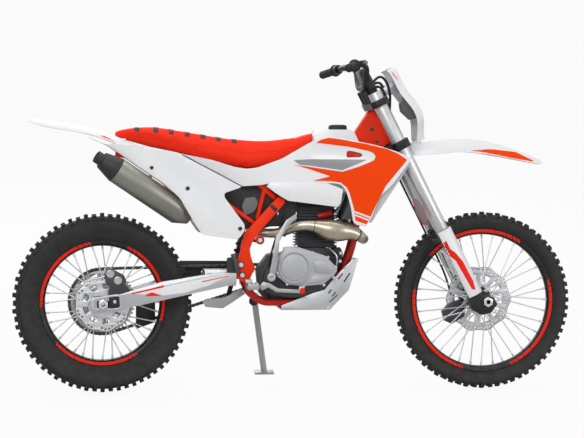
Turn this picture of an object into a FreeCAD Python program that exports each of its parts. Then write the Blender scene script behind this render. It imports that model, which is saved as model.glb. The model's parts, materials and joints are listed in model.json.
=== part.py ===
import FreeCAD, Part
import math
import os
import re
import Sketcher
from FreeCAD import Placement, Rotation, Vector

# A trail motorcycle with two wheels in line, parked on its side stand.
# Each piece is modelled upright: x forward from the rear axle, y to the left, z up from the ground.
# Its placement then leans the whole machine over to the stand.

SIZES = {
    # the whole machine
    "wheel_base": 1480,
    "lean_angle": 9.2,
    "seat_gap": 0.3,
    "running_gap": 0.05,
    # steering: axis angle, fork offset, axle lead, leg spacing
    "rake_angle": 26.5,
    "fork_offset": 22,
    "axle_lead": 34,
    "leg_spacing": 210,
    "stem_radius": 15,
    # tyres, over the lugs
    "tyre_radius": 347.5,
    "front_tyre_width": 84,
    "rear_tyre_width": 112,
    "front_lug_height": 13,
    "rear_lug_height": 15,
    "tyre_sectors": 24,
    # rims, spokes and hubs
    "front_rim_radius": 279,
    "rear_rim_radius": 241,
    "front_rim_inner": 257,
    "rear_rim_inner": 219,
    "front_rim_width": 42,
    "rear_rim_width": 56,
    "flange_wall": 3,
    "spoke_count": 36,
    "spoke_thickness": 3.6,
    "spoke_stagger": 2.6,
    "front_hub_radius": 36,
    "rear_hub_radius": 44,
    "front_hub_width": 128,
    "rear_hub_width": 118,
    "front_flange_spacing": 60,
    "rear_flange_spacing": 64,
    "hub_flange_wall": 7,
    "hub_sides": 24,
    # axles
    "front_axle_radius": 10,
    "rear_axle_radius": 12.5,
    "axle_bore_radius": 8,
    "front_axle_length": 284,
    "rear_axle_length": 265,
    "axle_nut_width": 34,
    "axle_nut_depth": 14,
    # brake discs and the chain
    "front_disc_radius": 130,
    "rear_disc_radius": 110,
    "disc_thickness": 4,
    "disc_band": 30,
    "disc_carrier_radius": 52,
    "disc_arm_width": 14,
    "front_disc_side": 64,
    "rear_disc_side": 68,
    "chain_side": 72,
    "drive_radius": 26,
    "chain_pitch": 15.875,
    "rear_teeth": 50,
    "front_teeth": 13,
    "chain_plate_width": 17,
    "chain_plate_height": 12,
    "chain_inner_width": 12,
    "chain_inner_height": 9,
    "sprocket_thickness": 5,
    "sprocket_x": 640,
    "sprocket_z": 455,
    # frame
    "head_low": 713,
    "head_high": 858,
    "head_radius": 29,
    "gusset_x": -140,
    "gusset_z": 716,
    "gusset_length": 147,
    "gusset_height": 140,
    "gusset_width": 56,
    "backbone_radius": 20,
    "backbone_rear_x": 688,
    "backbone_rear_z": 752,
    "backbone_front_x": 985,
    "backbone_front_z": 952,
    "cross_radius": 15,
    "spar_x": 513,
    "spar_z": 429,
    "spar_length": 190,
    "spar_height": 325,
    "spar_wall": 21,
    "spar_inner": 82,
    "spar_corner": 9,
    "pivot_x": 548,
    "pivot_z": 456,
    "pivot_radius": 11,
    "cradle_x": 545,
    "cradle_z": 346,
    "cradle_length": 548,
    "cradle_height": 546,
    "cradle_spread": 80,
    "cradle_radius": 13,
    "down_tube_radius": 18,
    "cradle_block": 50,
    # subframe
    "rail_x": 40,
    "rail_z": 615,
    "rail_length": 640,
    "rail_height": 345,
    "rail_spread": 72,
    "rail_radius": 10,
    # engine
    "case_x": 588,
    "case_z": 336,
    "case_length": 318,
    "case_height": 222,
    "case_half": 60,
    "case_flank": 34,
    "case_corner": 14,
    "cover_x": 654,
    "cover_z": 408,
    "cover_length": 242,
    "cover_height": 156,
    "cover_depth": 44,
    "cover_corner": 16,
    "clutch_x": 727,
    "clutch_z": 486,
    "clutch_radius": 60,
    "clutch_depth": 12,
    "rib_wall": 5,
    "stator_x": 790,
    "stator_z": 455,
    "stator_radius": 68,
    "stator_depth": 30,
    "barrel_x": 752,
    "barrel_length": 140,
    "barrel_height": 84,
    "barrel_width": 112,
    "fin_thickness": 4,
    "fin_pitch": 11,
    "fin_reach": 9,
    "fin_count": 7,
    "head_block_height": 92,
    "head_cover_height": 30,
    # intake
    "carb_x": 672,
    "carb_z": 688,
    "carb_side": 36,
    "carb_length": 74,
    "carb_radius": 24,
    "bowl_height": 42,
    "boot_radius": 19,
    "airbox_x": 300,
    "airbox_z": 660,
    "airbox_length": 262,
    "airbox_height": 190,
    "airbox_width": 116,
    "airbox_corner": 12,
    # tank, cap, seat
    "tank_x": 640,
    "tank_z": 762,
    "tank_length": 372,
    "tank_height": 250,
    "tank_width": 184,
    "tank_corner": 24,
    "flank_x": 624,
    "flank_z": 716,
    "flank_length": 292,
    "flank_height": 94,
    "flank_inner": 96,
    "flank_wall": 50,
    "tunnel_width": 56,
    "cap_x": 912,
    "cap_radius": 34,
    "cap_height": 18,
    "seat_x": 48,
    "seat_z": 860,
    "seat_length": 782,
    "seat_rise": 158,
    "seat_width": 148,
    "fender_x": -280,
    "fender_z": 930,
    "fender_length": 500,
    "fender_rise": 130,
    "fender_width": 176,
    "fender_wall": 4,
    # panels
    "shroud_x": 790,
    "shroud_z": 638,
    "shroud_length": 392,
    "shroud_height": 348,
    "shroud_wall": 5,
    "shroud_side": 104,
    "shroud_flare": 11,
    "shroud_corner": 8,
    "panel_x": -56,
    "panel_z": 594,
    "panel_length": 600,
    "panel_height": 392,
    "panel_wall": 4,
    "panel_side": 92,
    "panel_flare": 5,
    "panel_corner": 7,
    "panel_pin_radius": 6,
    # cooling and exhaust
    "radiator_x": 912,
    "radiator_z": 668,
    "radiator_length": 128,
    "radiator_height": 204,
    "radiator_width": 64,
    "radiator_inner": 56,
    "louvre_count": 9,
    "louvre_depth": 6,
    "radiator_tab_length": 18,
    "radiator_tab_height": 12,
    "header_x": 335,
    "header_z": 585,
    "header_length": 680,
    "header_height": 84,
    "header_side": 118,
    "header_radius": 19,
    "bomb_x": 806,
    "bomb_length": 138,
    "bomb_radius": 41,
    "muffler_rear_x": 51,
    "muffler_rear_z": 859,
    "muffler_rear_side": 128,
    "muffler_front_x": 290,
    "muffler_front_z": 698,
    "muffler_front_side": 76,
    "muffler_radius": 50,
    "muffler_cone": 50,
    "muffler_cap_length": 68,
    "muffler_tip_radius": 24,
    "muffler_tip_length": 26,
    "muffler_stay_radius": 7,
    # guard below the engine
    "skid_x": 681,
    "skid_z": 320,
    "skid_length": 285,
    "skid_height": 195,
    "skid_width": 200,
    "skid_wall": 4,
    "skid_foot_length": 40,
    # rear suspension
    "arm_z": 312,
    "arm_length": 560,
    "arm_nose": 40,
    "arm_x": "=pivot_x - arm_nose - arm_length",
    "arm_height": 154,
    "arm_inner": 92,
    "arm_wall": 26,
    "arm_corner": 12,
    "arm_bridge_x": 390,
    "arm_bridge_z": 414,
    "arm_bridge_height": 48,
    "arm_barrel_radius": 22,
    "arm_barrel_length": 150,
    "slot_length": 46,
    "window_length": 76,
    "window_width": 70,
    "shock_top_x": 590,
    "shock_top_z": 738,
    "shock_low_x": 484,
    "shock_low_z": 360,
    "shock_side": 14,
    "shock_bolt_radius": 4.8,
    "shock_tab_wall": 8,
    "shock_tab_height": 26,
    "shock_radius": 20,
    "shock_eye_radius": 15,
    "shock_eye_width": 30,
    "spring_radius": 28,
    "spring_wire": 5,
    "spring_turns": 6,
    "spring_length": 170,
    "rocker_x": 388,
    "rocker_z": 322,
    "rocker_length": 166,
    "rocker_height": 78,
    "rocker_wall": 8,
    "rocker_inner": 16,
    "guard_x": 302,
    "guard_z": 437,
    "guard_length": 222,
    "guard_height": 66,
    "guard_wall": 4,
    "guide_x": 132,
    "guide_z": 240,
    "guide_length": 74,
    "guide_height": 118,
    "guide_width": 36,
    # feet and hands
    "peg_x": 545,
    "peg_z": 404,
    "peg_length": 42,
    "peg_height": 22,
    "peg_reach": 82,
    "peg_side": 118,
    "pedal_x": 592,
    "pedal_z": 388,
    "pedal_length": 172,
    "pedal_height": 46,
    "pedal_side": 142,
    "pedal_wall": 12,
    "kick_x": 628,
    "kick_z": 440,
    "kick_length": 110,
    "kick_height": 252,
    "kick_side": 154,
    "kick_wall": 14,
    "shifter_x": 672,
    "shifter_z": 372,
    "shifter_length": 150,
    "shifter_height": 40,
    # rear brake
    "rear_caliper_x": 6,
    "rear_caliper_z": 410,
    "rear_caliper_length": 84,
    "rear_caliper_height": 74,
    "caliper_width": 34,
    "caliper_slot": 8,
    "caliper_tab_wall": 8,
    "master_x": 496,
    "master_z": 468,
    "master_length": 70,
    "master_radius": 11,
    # side stand
    "stand_x": 598,
    "stand_z": 352,
    "stand_side": 128,
    "stand_foot_x": 650,
    "stand_foot_reach": 268,
    "stand_radius": 12,
    "stand_pivot_radius": 9,
    "stand_fork_width": 36,
    "foot_length": 76,
    "foot_width": 44,
    "foot_thickness": 8,
    # fork and bars, in the fork's own frame
    "clamp_low": 676,
    "clamp_low_height": 34,
    "clamp_high": 862,
    "clamp_high_height": 26,
    "clamp_reach": 38,
    "fork_tube_radius": 27,
    "fork_tube_low": 300,
    "fork_tube_high": 918,
    "slider_radius": 23,
    "slider_low": 46,
    "leg_guard_radius": 37,
    "leg_guard_wall": 3.5,
    "leg_guard_low": 46.3,
    "leg_guard_high": 326,
    "foot_block_low": -44,
    "foot_block_high": 46,
    "foot_block_width": 44,
    "foot_block_reach": 92,
    "bar_height": 950,
    "bar_rise": 104,
    "bar_half_width": 404,
    "bar_radius": 11,
    "riser_radius": 15,
    "bar_pad_width": 110,
    "bar_pad_height": 112,
    "bar_pad_depth": 34,
    "bar_pad_low": 907,
    "grip_radius": 16,
    "grip_length": 122,
    "perch_side": 250,
    "lever_length": 150,
    "mask_height": 305,
    "mask_low": 666,
    "mask_reach": 168,
    "mask_width": 196,
    "mask_wall": 4,
    "mask_wrap": 34,
    "bracket_x": 28,
    "bracket_z": 888.3,
    "bracket_length": 122,
    "bracket_height": 38,
    "bracket_side": 34,
    "bracket_wall": 4,
    "housing_x": 98,
    "housing_z": 752,
    "housing_length": 66,
    "housing_height": 100,
    "housing_width": 66,
    "front_fender_x": 1188,
    "front_fender_z": 886,
    "front_fender_length": 524,
    "front_fender_rise": 92,
    "front_fender_width": 150,
    "fender_foot_low": 650,
    "fender_foot_reach": 112,
    "fender_foot_width": 70,
    "front_caliper_length": 96,
    "front_caliper_height": 78,
    "hose_radius": 4,
}

doc = FreeCAD.newDocument("TrailMotorcycle")
sheet = doc.addObject("Spreadsheet::Sheet", "Sizes")
for row, (alias, number) in enumerate(SIZES.items(), start=1):
    sheet.set("A%d" % row, alias)
    sheet.set("B%d" % row, str(number))
    sheet.setAlias("B%d" % row, alias)
doc.recompute()

NAME = re.compile(r"[a-z]+(?:_[a-z]+)+")


def cells(text):
    """A size's name, or a sum of names, as an expression on the sheet."""
    return NAME.sub(lambda found: "Sizes." + found.group(), text)


def size(text):
    """The number that a sum of named sizes gives."""
    return float(sheet.evalExpression(cells(text)))


def bind(item, **sums):
    for prop, text in sums.items():
        item.setExpression(prop, cells(text))


# Placements: upright, then leaned over about the line of the tyres on the ground

LEAN = Placement(Vector(), Rotation(Vector(1, 0, 0), -size("lean_angle")))
RAKE = Rotation(Vector(0, 1, 0), -size("rake_angle"))
FRONT_AXLE = Vector(size("wheel_base"), 0, size("tyre_radius"))
REAR_AXLE = Vector(0, 0, size("tyre_radius"))
AXLE_REACH = size("fork_offset + axle_lead")
STEERING_FOOT = FRONT_AXLE - RAKE.multVec(Vector(AXLE_REACH, 0, 0))
BIKE = Placement()
FORK = Placement(STEERING_FOOT, RAKE)
FRONT_WHEEL = Placement(FRONT_AXLE, Rotation())
REAR_WHEEL = Placement(REAR_AXLE, Rotation())

nodes = []


def node(item, label, frame=BIKE):
    """Keep an object as a sub-part: its label names its file, its frame says where it sits."""
    item.Label = label
    nodes.append((item, frame))
    return item


# Sketches and the bodies made from them


def origin_part(body, role):
    return next(part for part in body.Origin.OriginFeatures if part.Role == role)


def new_sketch(body, plane, offset=None):
    sketch = body.newObject("Sketcher::SketchObject", body.Name + "Sketch")
    sketch.AttachmentSupport = (origin_part(body, plane), [""])
    sketch.MapMode = "FlatFace"
    if offset is not None:
        sketch.setExpression("AttachmentOffset.Base.z", cells(offset))
    return sketch


def pin(sketch, geometry, point, across, up):
    """Hold one point of a sketch at named sizes from the origin."""
    for kind, text in (("DistanceX", across), ("DistanceY", up)):
        index = sketch.addConstraint(Sketcher.Constraint(kind, -1, 1, geometry, point, size(text)))
        sketch.setExpression("Constraints[%d]" % index, cells(text))


def corner_arc(before, at, after, radius):
    """Where a round corner leaves its two sides, its centre, and whether it turns to the left."""
    back = (before - at).normalize()
    ahead = (after - at).normalize()
    half = back.getAngle(ahead) / 2
    leave = at + back * (radius / math.tan(half))
    join = at + ahead * (radius / math.tan(half))
    centre = at + (back + ahead).normalize() * (radius / math.sin(half))
    return leave, join, centre, back.cross(ahead).z < 0


def draw_outline(sketch, outline):
    """A closed outline of straight sides; a corner with a radius is rounded by a tangent arc."""
    corners = [Vector(size(across), size(up), 0) for across, up, radius in outline]
    total = len(outline)
    leaves = list(corners)
    joins = list(corners)
    arcs = {}
    for index, (across, up, radius) in enumerate(outline):
        if radius is not None:
            leave, join, centre, left = corner_arc(
                corners[index - 1], corners[index], corners[(index + 1) % total], size(radius)
            )
            leaves[index] = leave
            joins[index] = join
            arcs[index] = (centre, left)
    lines = []
    for index in range(total):
        line = Part.LineSegment(joins[index], leaves[(index + 1) % total])
        lines.append(sketch.addGeometry(line))
    for index, (across, up, radius) in enumerate(outline):
        before = lines[index - 1]
        after = lines[index]
        if radius is None:
            sketch.addConstraint(Sketcher.Constraint("Coincident", before, 2, after, 1))
            pin(sketch, after, 1, across, up)
            continue
        centre, left = arcs[index]
        first, last = (leaves[index], joins[index]) if left else (joins[index], leaves[index])
        circle = Part.Circle(centre, Vector(0, 0, 1), size(radius))
        begin = circle.parameter(first)
        end = circle.parameter(last)
        arc = sketch.addGeometry(Part.ArcOfCircle(circle, begin, end))
        first_end, last_end = (1, 2) if left else (2, 1)
        sketch.addConstraint(Sketcher.Constraint("Tangent", before, 2, arc, first_end))
        sketch.addConstraint(Sketcher.Constraint("Tangent", arc, last_end, after, 1))
        corner = sketch.addGeometry(Part.Point(corners[index]), True)
        sketch.addConstraint(Sketcher.Constraint("PointOnObject", corner, 1, before))
        sketch.addConstraint(Sketcher.Constraint("PointOnObject", corner, 1, after))
        pin(sketch, corner, 1, across, up)
        held = sketch.addConstraint(Sketcher.Constraint("Radius", arc, size(radius)))
        sketch.setExpression("Constraints[%d]" % held, cells(radius))


def share_outline(prefix, shares, radius=None):
    """An outline as shares of a piece's own length and height, from its named corner."""
    outline = []
    for along, up in shares:
        across = "%s_x + %s_length * %s" % (prefix, prefix, along)
        height = "%s_z + %s_height * %s" % (prefix, prefix, up)
        outline.append((across, height, radius))
    return outline


def new_body(name):
    return doc.addObject("PartDesign::Body", name)


def pad(body, outline, start, depth, plane="XZ_Plane"):
    """Draw an outline and pad it. On the XZ plane the pad goes to the right, away from start."""
    sketch = new_sketch(body, plane, start)
    draw_outline(sketch, outline)
    feature = body.newObject("PartDesign::Pad", body.Name + "Pad")
    feature.Profile = sketch
    bind(feature, Length=depth)
    sketch.Visibility = False
    return feature


def pocket(body, outline, start, depth, plane="XZ_Plane"):
    """Cut an outline out of the body, from start towards the left."""
    sketch = new_sketch(body, plane, start)
    draw_outline(sketch, outline)
    feature = body.newObject("PartDesign::Pocket", body.Name + "Pocket")
    feature.Profile = sketch
    bind(feature, Length=depth)
    return feature


def plate(name, outline, start, depth):
    body = new_body(name)
    pad(body, outline, start, depth)
    return body


def lofted(name, sections):
    """A body lofted through outlines that stand across the machine, each at its own x."""
    body = new_body(name)
    sketches = []
    for station, outline in sections:
        sketch = new_sketch(body, "YZ_Plane", station)
        draw_outline(sketch, outline)
        sketches.append(sketch)
    feature = body.newObject("PartDesign::AdditiveLoft", name + "Loft")
    feature.Profile = sketches[0]
    feature.Sections = sketches[1:]
    return body


# Part primitives


def cylinder(name, radius, height, place):
    item = doc.addObject("Part::Cylinder", name)
    bind(item, Radius=radius, Height=height)
    item.Placement = place
    return item


def crosswise(x, start, z):
    """A placement whose z axis points to the left, from y = start."""
    return Placement(Vector(size(x), size(start), size(z)), Rotation(Vector(1, 0, 0), -90))


def box(name, length, width, height, x, y, z):
    item = doc.addObject("Part::Box", name)
    bind(item, Length=length, Width=width, Height=height)
    item.Placement = Placement(Vector(size(x), size(y), size(z)), Rotation())
    return item


def fuse(name, items):
    item = doc.addObject("Part::MultiFuse", name)
    item.Shapes = items
    item.Refine = True
    return item


def cut(name, base, tool):
    item = doc.addObject("Part::Cut", name)
    item.Base = base
    item.Tool = tool
    item.Refine = True
    return item


def compound(name, items):
    item = doc.addObject("Part::Compound", name)
    item.Links = items
    return item


def mirrored(item):
    copy = doc.addObject("Part::Mirroring", item.Name + "Mirrored")
    copy.Source = item
    copy.Normal = Vector(0, 1, 0)
    return copy


def pair(name, item):
    """A piece and its mirror image on the other side."""
    return compound(name, [item, mirrored(item)])


# Shapes that have no sketch: tubes along bent routes, and faceted rings


def feature(name, shape):
    item = doc.addObject("Part::Feature", name)
    item.Shape = shape
    return item


BEND_SHARE = 0.45


def bent_wire(points):
    """Straight runs joined by tangent arcs, each as large as its runs allow."""
    edges = []
    here = points[0]
    for before, at, after in zip(points, points[1:], points[2:]):
        back = before - at
        ahead = after - at
        reach = BEND_SHARE * min(back.Length, ahead.Length)
        begin = at + back.normalize() * reach
        end = at + ahead.normalize() * reach
        half = back.getAngle(ahead) / 2
        centre = at + (back + ahead).normalize() * (reach / math.cos(half))
        radius = (begin - centre).Length
        middle = centre + (at - centre).normalize() * radius
        edges.append(Part.LineSegment(here, begin).toShape())
        edges.append(Part.Arc(begin, middle, end).toShape())
        here = end
    edges.append(Part.LineSegment(here, points[-1]).toShape())
    return Part.Wire(edges)


def tube(points, radius):
    wire = bent_wire(points)
    start = points[0]
    circle = Part.Circle(start, points[1] - start, radius)
    return wire.makePipeShell([Part.Wire(circle.toShape())], True, False)


def rod(start, end, radius):
    return Part.makeCylinder(radius, (end - start).Length, start, end - start)


def route(prefix, spread, shares):
    """Points as shares of a piece's length, spread to the left and height."""
    return [
        Vector(
            size("%s_x + %s_length * %s" % (prefix, prefix, along)),
            size("%s * %s" % (spread, left)),
            size("%s_z + %s_height * %s" % (prefix, prefix, up)),
        )
        for along, left, up in shares
    ]


def flipped(shape):
    return shape.mirror(Vector(), Vector(0, 1, 0))


def around(point, angle):
    """A point of a ring's profile, given as radius and side, turned to an angle about the axle."""
    radius, side = point
    return Vector(radius * math.sin(angle), side, -radius * math.cos(angle))


def quad(points):
    return Part.Face(Part.makePolygon(points + points[:1]))


def ring_face(outer, inner):
    """A flat face between two closed lists of points."""
    wires = [Part.makePolygon(points + points[:1]) for points in (outer, inner)]
    return Part.makeFace(wires, "Part::FaceMakerBullseye")


def faceted_ring(profile, sides):
    """A ring of flat facets: a closed profile of radius and side, repeated about the axle."""
    faces = []
    for step in range(sides):
        low = 2 * math.pi * (step - 0.5) / sides
        high = 2 * math.pi * (step + 0.5) / sides
        for first, last in zip(profile, profile[1:] + profile[:1]):
            faces.append(
                quad([around(first, low), around(last, low), around(last, high), around(first, high)])
            )
    return solid_of(faces)


def solid_of(faces):
    """A solid from flat faces that share their edges."""
    shell = Part.makeShell(faces)
    shell.sewShape()
    solid = Part.makeSolid(shell)
    if solid.Volume < 0:
        solid.reverse()
    return solid


# Tyres: the carcass with a centre lug and a pair of shoulder lugs in each sector.
# Each point is a depth below the lug tips and a side, both as shares of the tyre's width.

SIDEWALL_SHARES = [(0.50, 0.46), (0.27, 0.47)]
FOOT_SHARE = 0.24
CROWN_SHARE = 0.155
SHOULDER_LUG_SHARES = [(0.20, 0.50), (0.06, 0.25)]


def tyre_profiles(prefix):
    """The profile across a centre lug, across the shoulder lugs, and the lugs' end faces."""
    radius = size("tyre_radius")
    width = size(prefix + "_tyre_width")
    foot = radius - size(prefix + "_lug_height")
    rim = size(prefix + "_rim_radius")
    bead_side = size("%s_rim_width / 2 - flange_wall - seat_gap" % prefix)
    seat = rim - size("flange_wall * 4 - seat_gap")
    bead = [(seat, bead_side), (rim, bead_side), (rim + size("flange_wall"), size(prefix + "_rim_width / 2"))]
    wall = [(radius - width * down, width * side) for down, side in SIDEWALL_SHARES]
    inner_foot = (foot - width * SHOULDER_LUG_SHARES[1][0] / 2, width * FOOT_SHARE)
    crown_foot = (foot, width * CROWN_SHARE)
    drop = width * CROWN_SHARE * math.tan(math.radians(size("lean_angle")))
    crown_edge = (radius - drop, width * CROWN_SHARE)
    shoulder = [(radius - width * down, width * side) for down, side in SHOULDER_LUG_SHARES]
    plain = bead + wall + [inner_foot, crown_foot]
    raised = bead + wall + shoulder + [inner_foot, crown_foot]
    centre_row = both_sides(plain + [crown_edge], [(radius, 0)])
    shoulder_row = both_sides(raised, [])
    crown_end = both_sides([crown_foot, crown_edge], [(radius, 0)])
    left_end = [wall[-1]] + shoulder + [inner_foot]
    right_end = [(r, -side) for r, side in left_end]
    return centre_row, shoulder_row, [crown_end, left_end, right_end]


def both_sides(half, middle):
    return half + middle + [(radius, -side) for radius, side in reversed(half)]


def tyre(prefix):
    centre_row, shoulder_row, ends = tyre_profiles(prefix)
    sectors = int(size("tyre_sectors"))
    quarter = math.pi / sectors / 2
    faces = []
    for sector in range(sectors):
        for row, turn in ((centre_row, 0), (shoulder_row, 2 * quarter)):
            middle = 4 * quarter * sector + turn
            low = middle - quarter
            high = middle + quarter
            for first, last in zip(row, row[1:] + row[:1]):
                faces.append(
                    quad([around(first, low), around(last, low), around(last, high), around(first, high)])
                )
            for end in ends:
                faces.append(quad([around(point, high) for point in end]))
    return node(feature(prefix + "_tyre", solid_of(faces)), prefix + "_tyre", WHEELS[prefix])


WHEELS = {"front": FRONT_WHEEL, "rear": REAR_WHEEL}

# The rim's section: radius below its flange as shares of its depth, side as shares of its width

RIM_SHARES = [(1, 0.2), (0.55, 0.42), (0, 0.5)]


def rim(prefix):
    flange = size(prefix + "_rim_radius")
    depth = flange - size(prefix + "_rim_inner")
    width = size(prefix + "_rim_width")
    outside = [(flange - depth * down, width * side) for down, side in RIM_SHARES]
    inner_side = width / 2 - size("flange_wall")
    seat = flange - size("flange_wall * 4")
    inside = [(flange, inner_side), (seat, inner_side)]
    half = outside + inside
    profile = half + [(radius, -side) for radius, side in reversed(half)]
    ring = faceted_ring(profile, int(size("spoke_count")))
    return node(feature(prefix + "_rim", ring), prefix + "_rim", WHEELS[prefix])


def bar(start, end, thickness):
    """A square bar between two points."""
    along = end - start
    item = Part.makeBox(thickness, thickness, along.Length, Vector(-thickness / 2, -thickness / 2, 0))
    item.Placement = Placement(start, Rotation(Vector(0, 0, 1), along))
    return item


# How far a spoke runs round the wheel between hub and rim, as a share of a turn

SPOKE_SWEEP_SHARE = 0.11
SPOKE_RIM_SHARE = 0.12


def spokes(prefix):
    count = int(size("spoke_count"))
    thickness = size("spoke_thickness")
    hub = size("%s_hub_radius + seat_gap + spoke_thickness / 2" % prefix)
    reach = size(prefix + "_rim_inner") * math.cos(math.pi / count) - size("seat_gap + spoke_thickness / 8")
    flange = size(prefix + "_flange_spacing / 2")
    stagger = size("spoke_stagger")
    rim_side = size(prefix + "_rim_width") * SPOKE_RIM_SHARE
    bars = []
    for index in range(count):
        side = 1 if index % 2 == 0 else -1
        lead = 1 if index % 4 < 2 else -1
        outer = 2 * math.pi * index / count
        inner = outer + lead * 2 * math.pi * SPOKE_SWEEP_SHARE
        start = around((hub, side * (flange + lead * stagger)), inner)
        end = around((reach, side * rim_side), outer)
        bars.append(bar(start, end, thickness))
    item = feature(prefix + "_spokes", Part.makeCompound(bars))
    return node(item, prefix + "_spokes", WHEELS[prefix])


# Hub sections: radius as shares of the hub's radius, side as shares of half its width

HUB_BARREL_SHARE = 0.62
HUB_END_SHARE = 0.55


def hub(prefix, disc_side, drive_side):
    """A hub with two spoke flanges, a seat for the disc and, at the rear, one for the sprocket."""
    sides = int(size("hub_sides"))
    bore = (size(prefix + "_axle_radius") + size("running_gap")) / math.cos(math.pi / sides)
    flange = size(prefix + "_hub_radius")
    wall = size("hub_flange_wall") / 2
    spacing = size(prefix + "_flange_spacing") / 2
    barrel = flange * HUB_BARREL_SHARE
    end = flange * HUB_END_SHARE
    disc_seat = size("disc_carrier_radius")
    inside = abs(disc_side) - size("disc_thickness / 2 + seat_gap")
    seat_wall = size("hub_flange_wall")
    left = [(disc_seat, inside), (disc_seat, inside - seat_wall), (end, inside - seat_wall - wall)]
    if drive_side:
        drive = drive_side - size("sprocket_thickness / 2 + seat_gap")
        right = [(disc_seat, -drive), (disc_seat, seat_wall - drive), (end, seat_wall + wall - drive)]
    else:
        half = size(prefix + "_hub_width") / 2
        right = [(end, -half), (end, -spacing - wall - seat_wall)]
    flanges = [
        (end, spacing + 2 * wall),
        (flange, spacing + wall),
        (flange, spacing - wall),
        (barrel, spacing - 2 * wall),
        (barrel, 2 * wall - spacing),
        (flange, wall - spacing),
        (flange, -spacing - wall),
        (end, -spacing - 2 * wall),
    ]
    profile = [(bore, left[0][1])] + left + flanges + right[::-1] + [(bore, right[0][1])]
    if disc_side < 0:
        profile = [(radius, -side) for radius, side in profile]
    ring = faceted_ring(profile, sides)
    return node(feature(prefix + "_hub", ring), prefix + "_hub", WHEELS[prefix])


WAVE_LOBES = 8
WAVE_SHARE = 0.018
WAVE_STEPS = 8
DISC_ARMS = 6


def ring_plate(outer, inner, thickness):
    """A flat ring between two closed lists of points, standing across the machine."""
    return ring_face(outer, inner).extrude(Vector(0, thickness, 0))


def circle_points(radius, count, wave_share=0):
    """Points round a circle, waved in and out where a share is given."""
    points = []
    for step in range(count):
        angle = 2 * math.pi * step / count
        waved = radius * (1 + wave_share * math.cos(WAVE_LOBES * angle))
        points.append(around((waved, 0), angle))
    return points


def brake_disc(prefix):
    """A waved ring carried by arms on a small ring that seats on the hub."""
    radius = size(prefix + "_disc_radius")
    thickness = size("disc_thickness")
    side = size(prefix + "_disc_side") * (1 if prefix == "front" else -1) - thickness / 2
    count = WAVE_LOBES * WAVE_STEPS
    band = ring_plate(
        circle_points(radius / (1 + WAVE_SHARE), count, WAVE_SHARE),
        circle_points(radius - size("disc_band"), count, WAVE_SHARE),
        thickness,
    )
    carrier = size("disc_carrier_radius")
    bore = size(prefix + "_hub_radius") * HUB_END_SHARE
    centre = ring_plate(circle_points(carrier, WAVE_STEPS * 3), circle_points(bore, WAVE_STEPS * 3), thickness)
    width = size("disc_arm_width")
    start = carrier - width / 2
    reach = radius - size("disc_band / 2") - start
    arms = []
    for step in range(DISC_ARMS):
        arm = Part.makeBox(width, thickness, reach, Vector(-width / 2, 0, start))
        arm.rotate(Vector(), Vector(0, 1, 0), 360 * step / DISC_ARMS)
        arms.append(arm)
    disc = band.multiFuse([centre] + arms).removeSplitter()
    disc.translate(Vector(0, side, 0))
    return node(feature(prefix + "_disc", disc), prefix + "_disc", WHEELS[prefix])


def pitch_radius(teeth):
    return size("chain_pitch") / (2 * math.sin(math.pi / size(teeth)))


def rear_sprocket():
    """The driven sprocket: its teeth end just under the chain's plates."""
    teeth = int(size("rear_teeth"))
    tip = (pitch_radius("rear_teeth") - size("chain_plate_height / 2")) * math.cos(math.pi / teeth)
    tip -= size("chain_plate_width - chain_inner_width") / 5
    root = tip - size("chain_plate_height / 2")
    outline = []
    for tooth in range(teeth):
        outline.append(around((root, 0), 2 * math.pi * tooth / teeth))
        outline.append(around((tip, 0), 2 * math.pi * (tooth + 0.5) / teeth))
    thickness = size("sprocket_thickness")
    band = ring_plate(outline, circle_points(root - size("disc_band / 2"), teeth), thickness)
    carrier = size("disc_carrier_radius")
    bore = size("rear_hub_radius") * HUB_END_SHARE
    centre = ring_plate(circle_points(carrier, WAVE_STEPS * 3), circle_points(bore, WAVE_STEPS * 3), thickness)
    width = size("disc_arm_width")
    start = carrier - width / 2
    arms = []
    for step in range(DISC_ARMS):
        arm = Part.makeBox(width, thickness, root - width - start, Vector(-width / 2, 0, start))
        arm.rotate(Vector(), Vector(0, 1, 0), 360 * step / DISC_ARMS)
        arms.append(arm)
    wheel = band.multiFuse([centre] + arms).removeSplitter()
    wheel.translate(Vector(0, size("chain_side") - thickness / 2, 0))
    return node(feature("rear_sprocket", wheel), "rear_sprocket", REAR_WHEEL)


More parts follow.
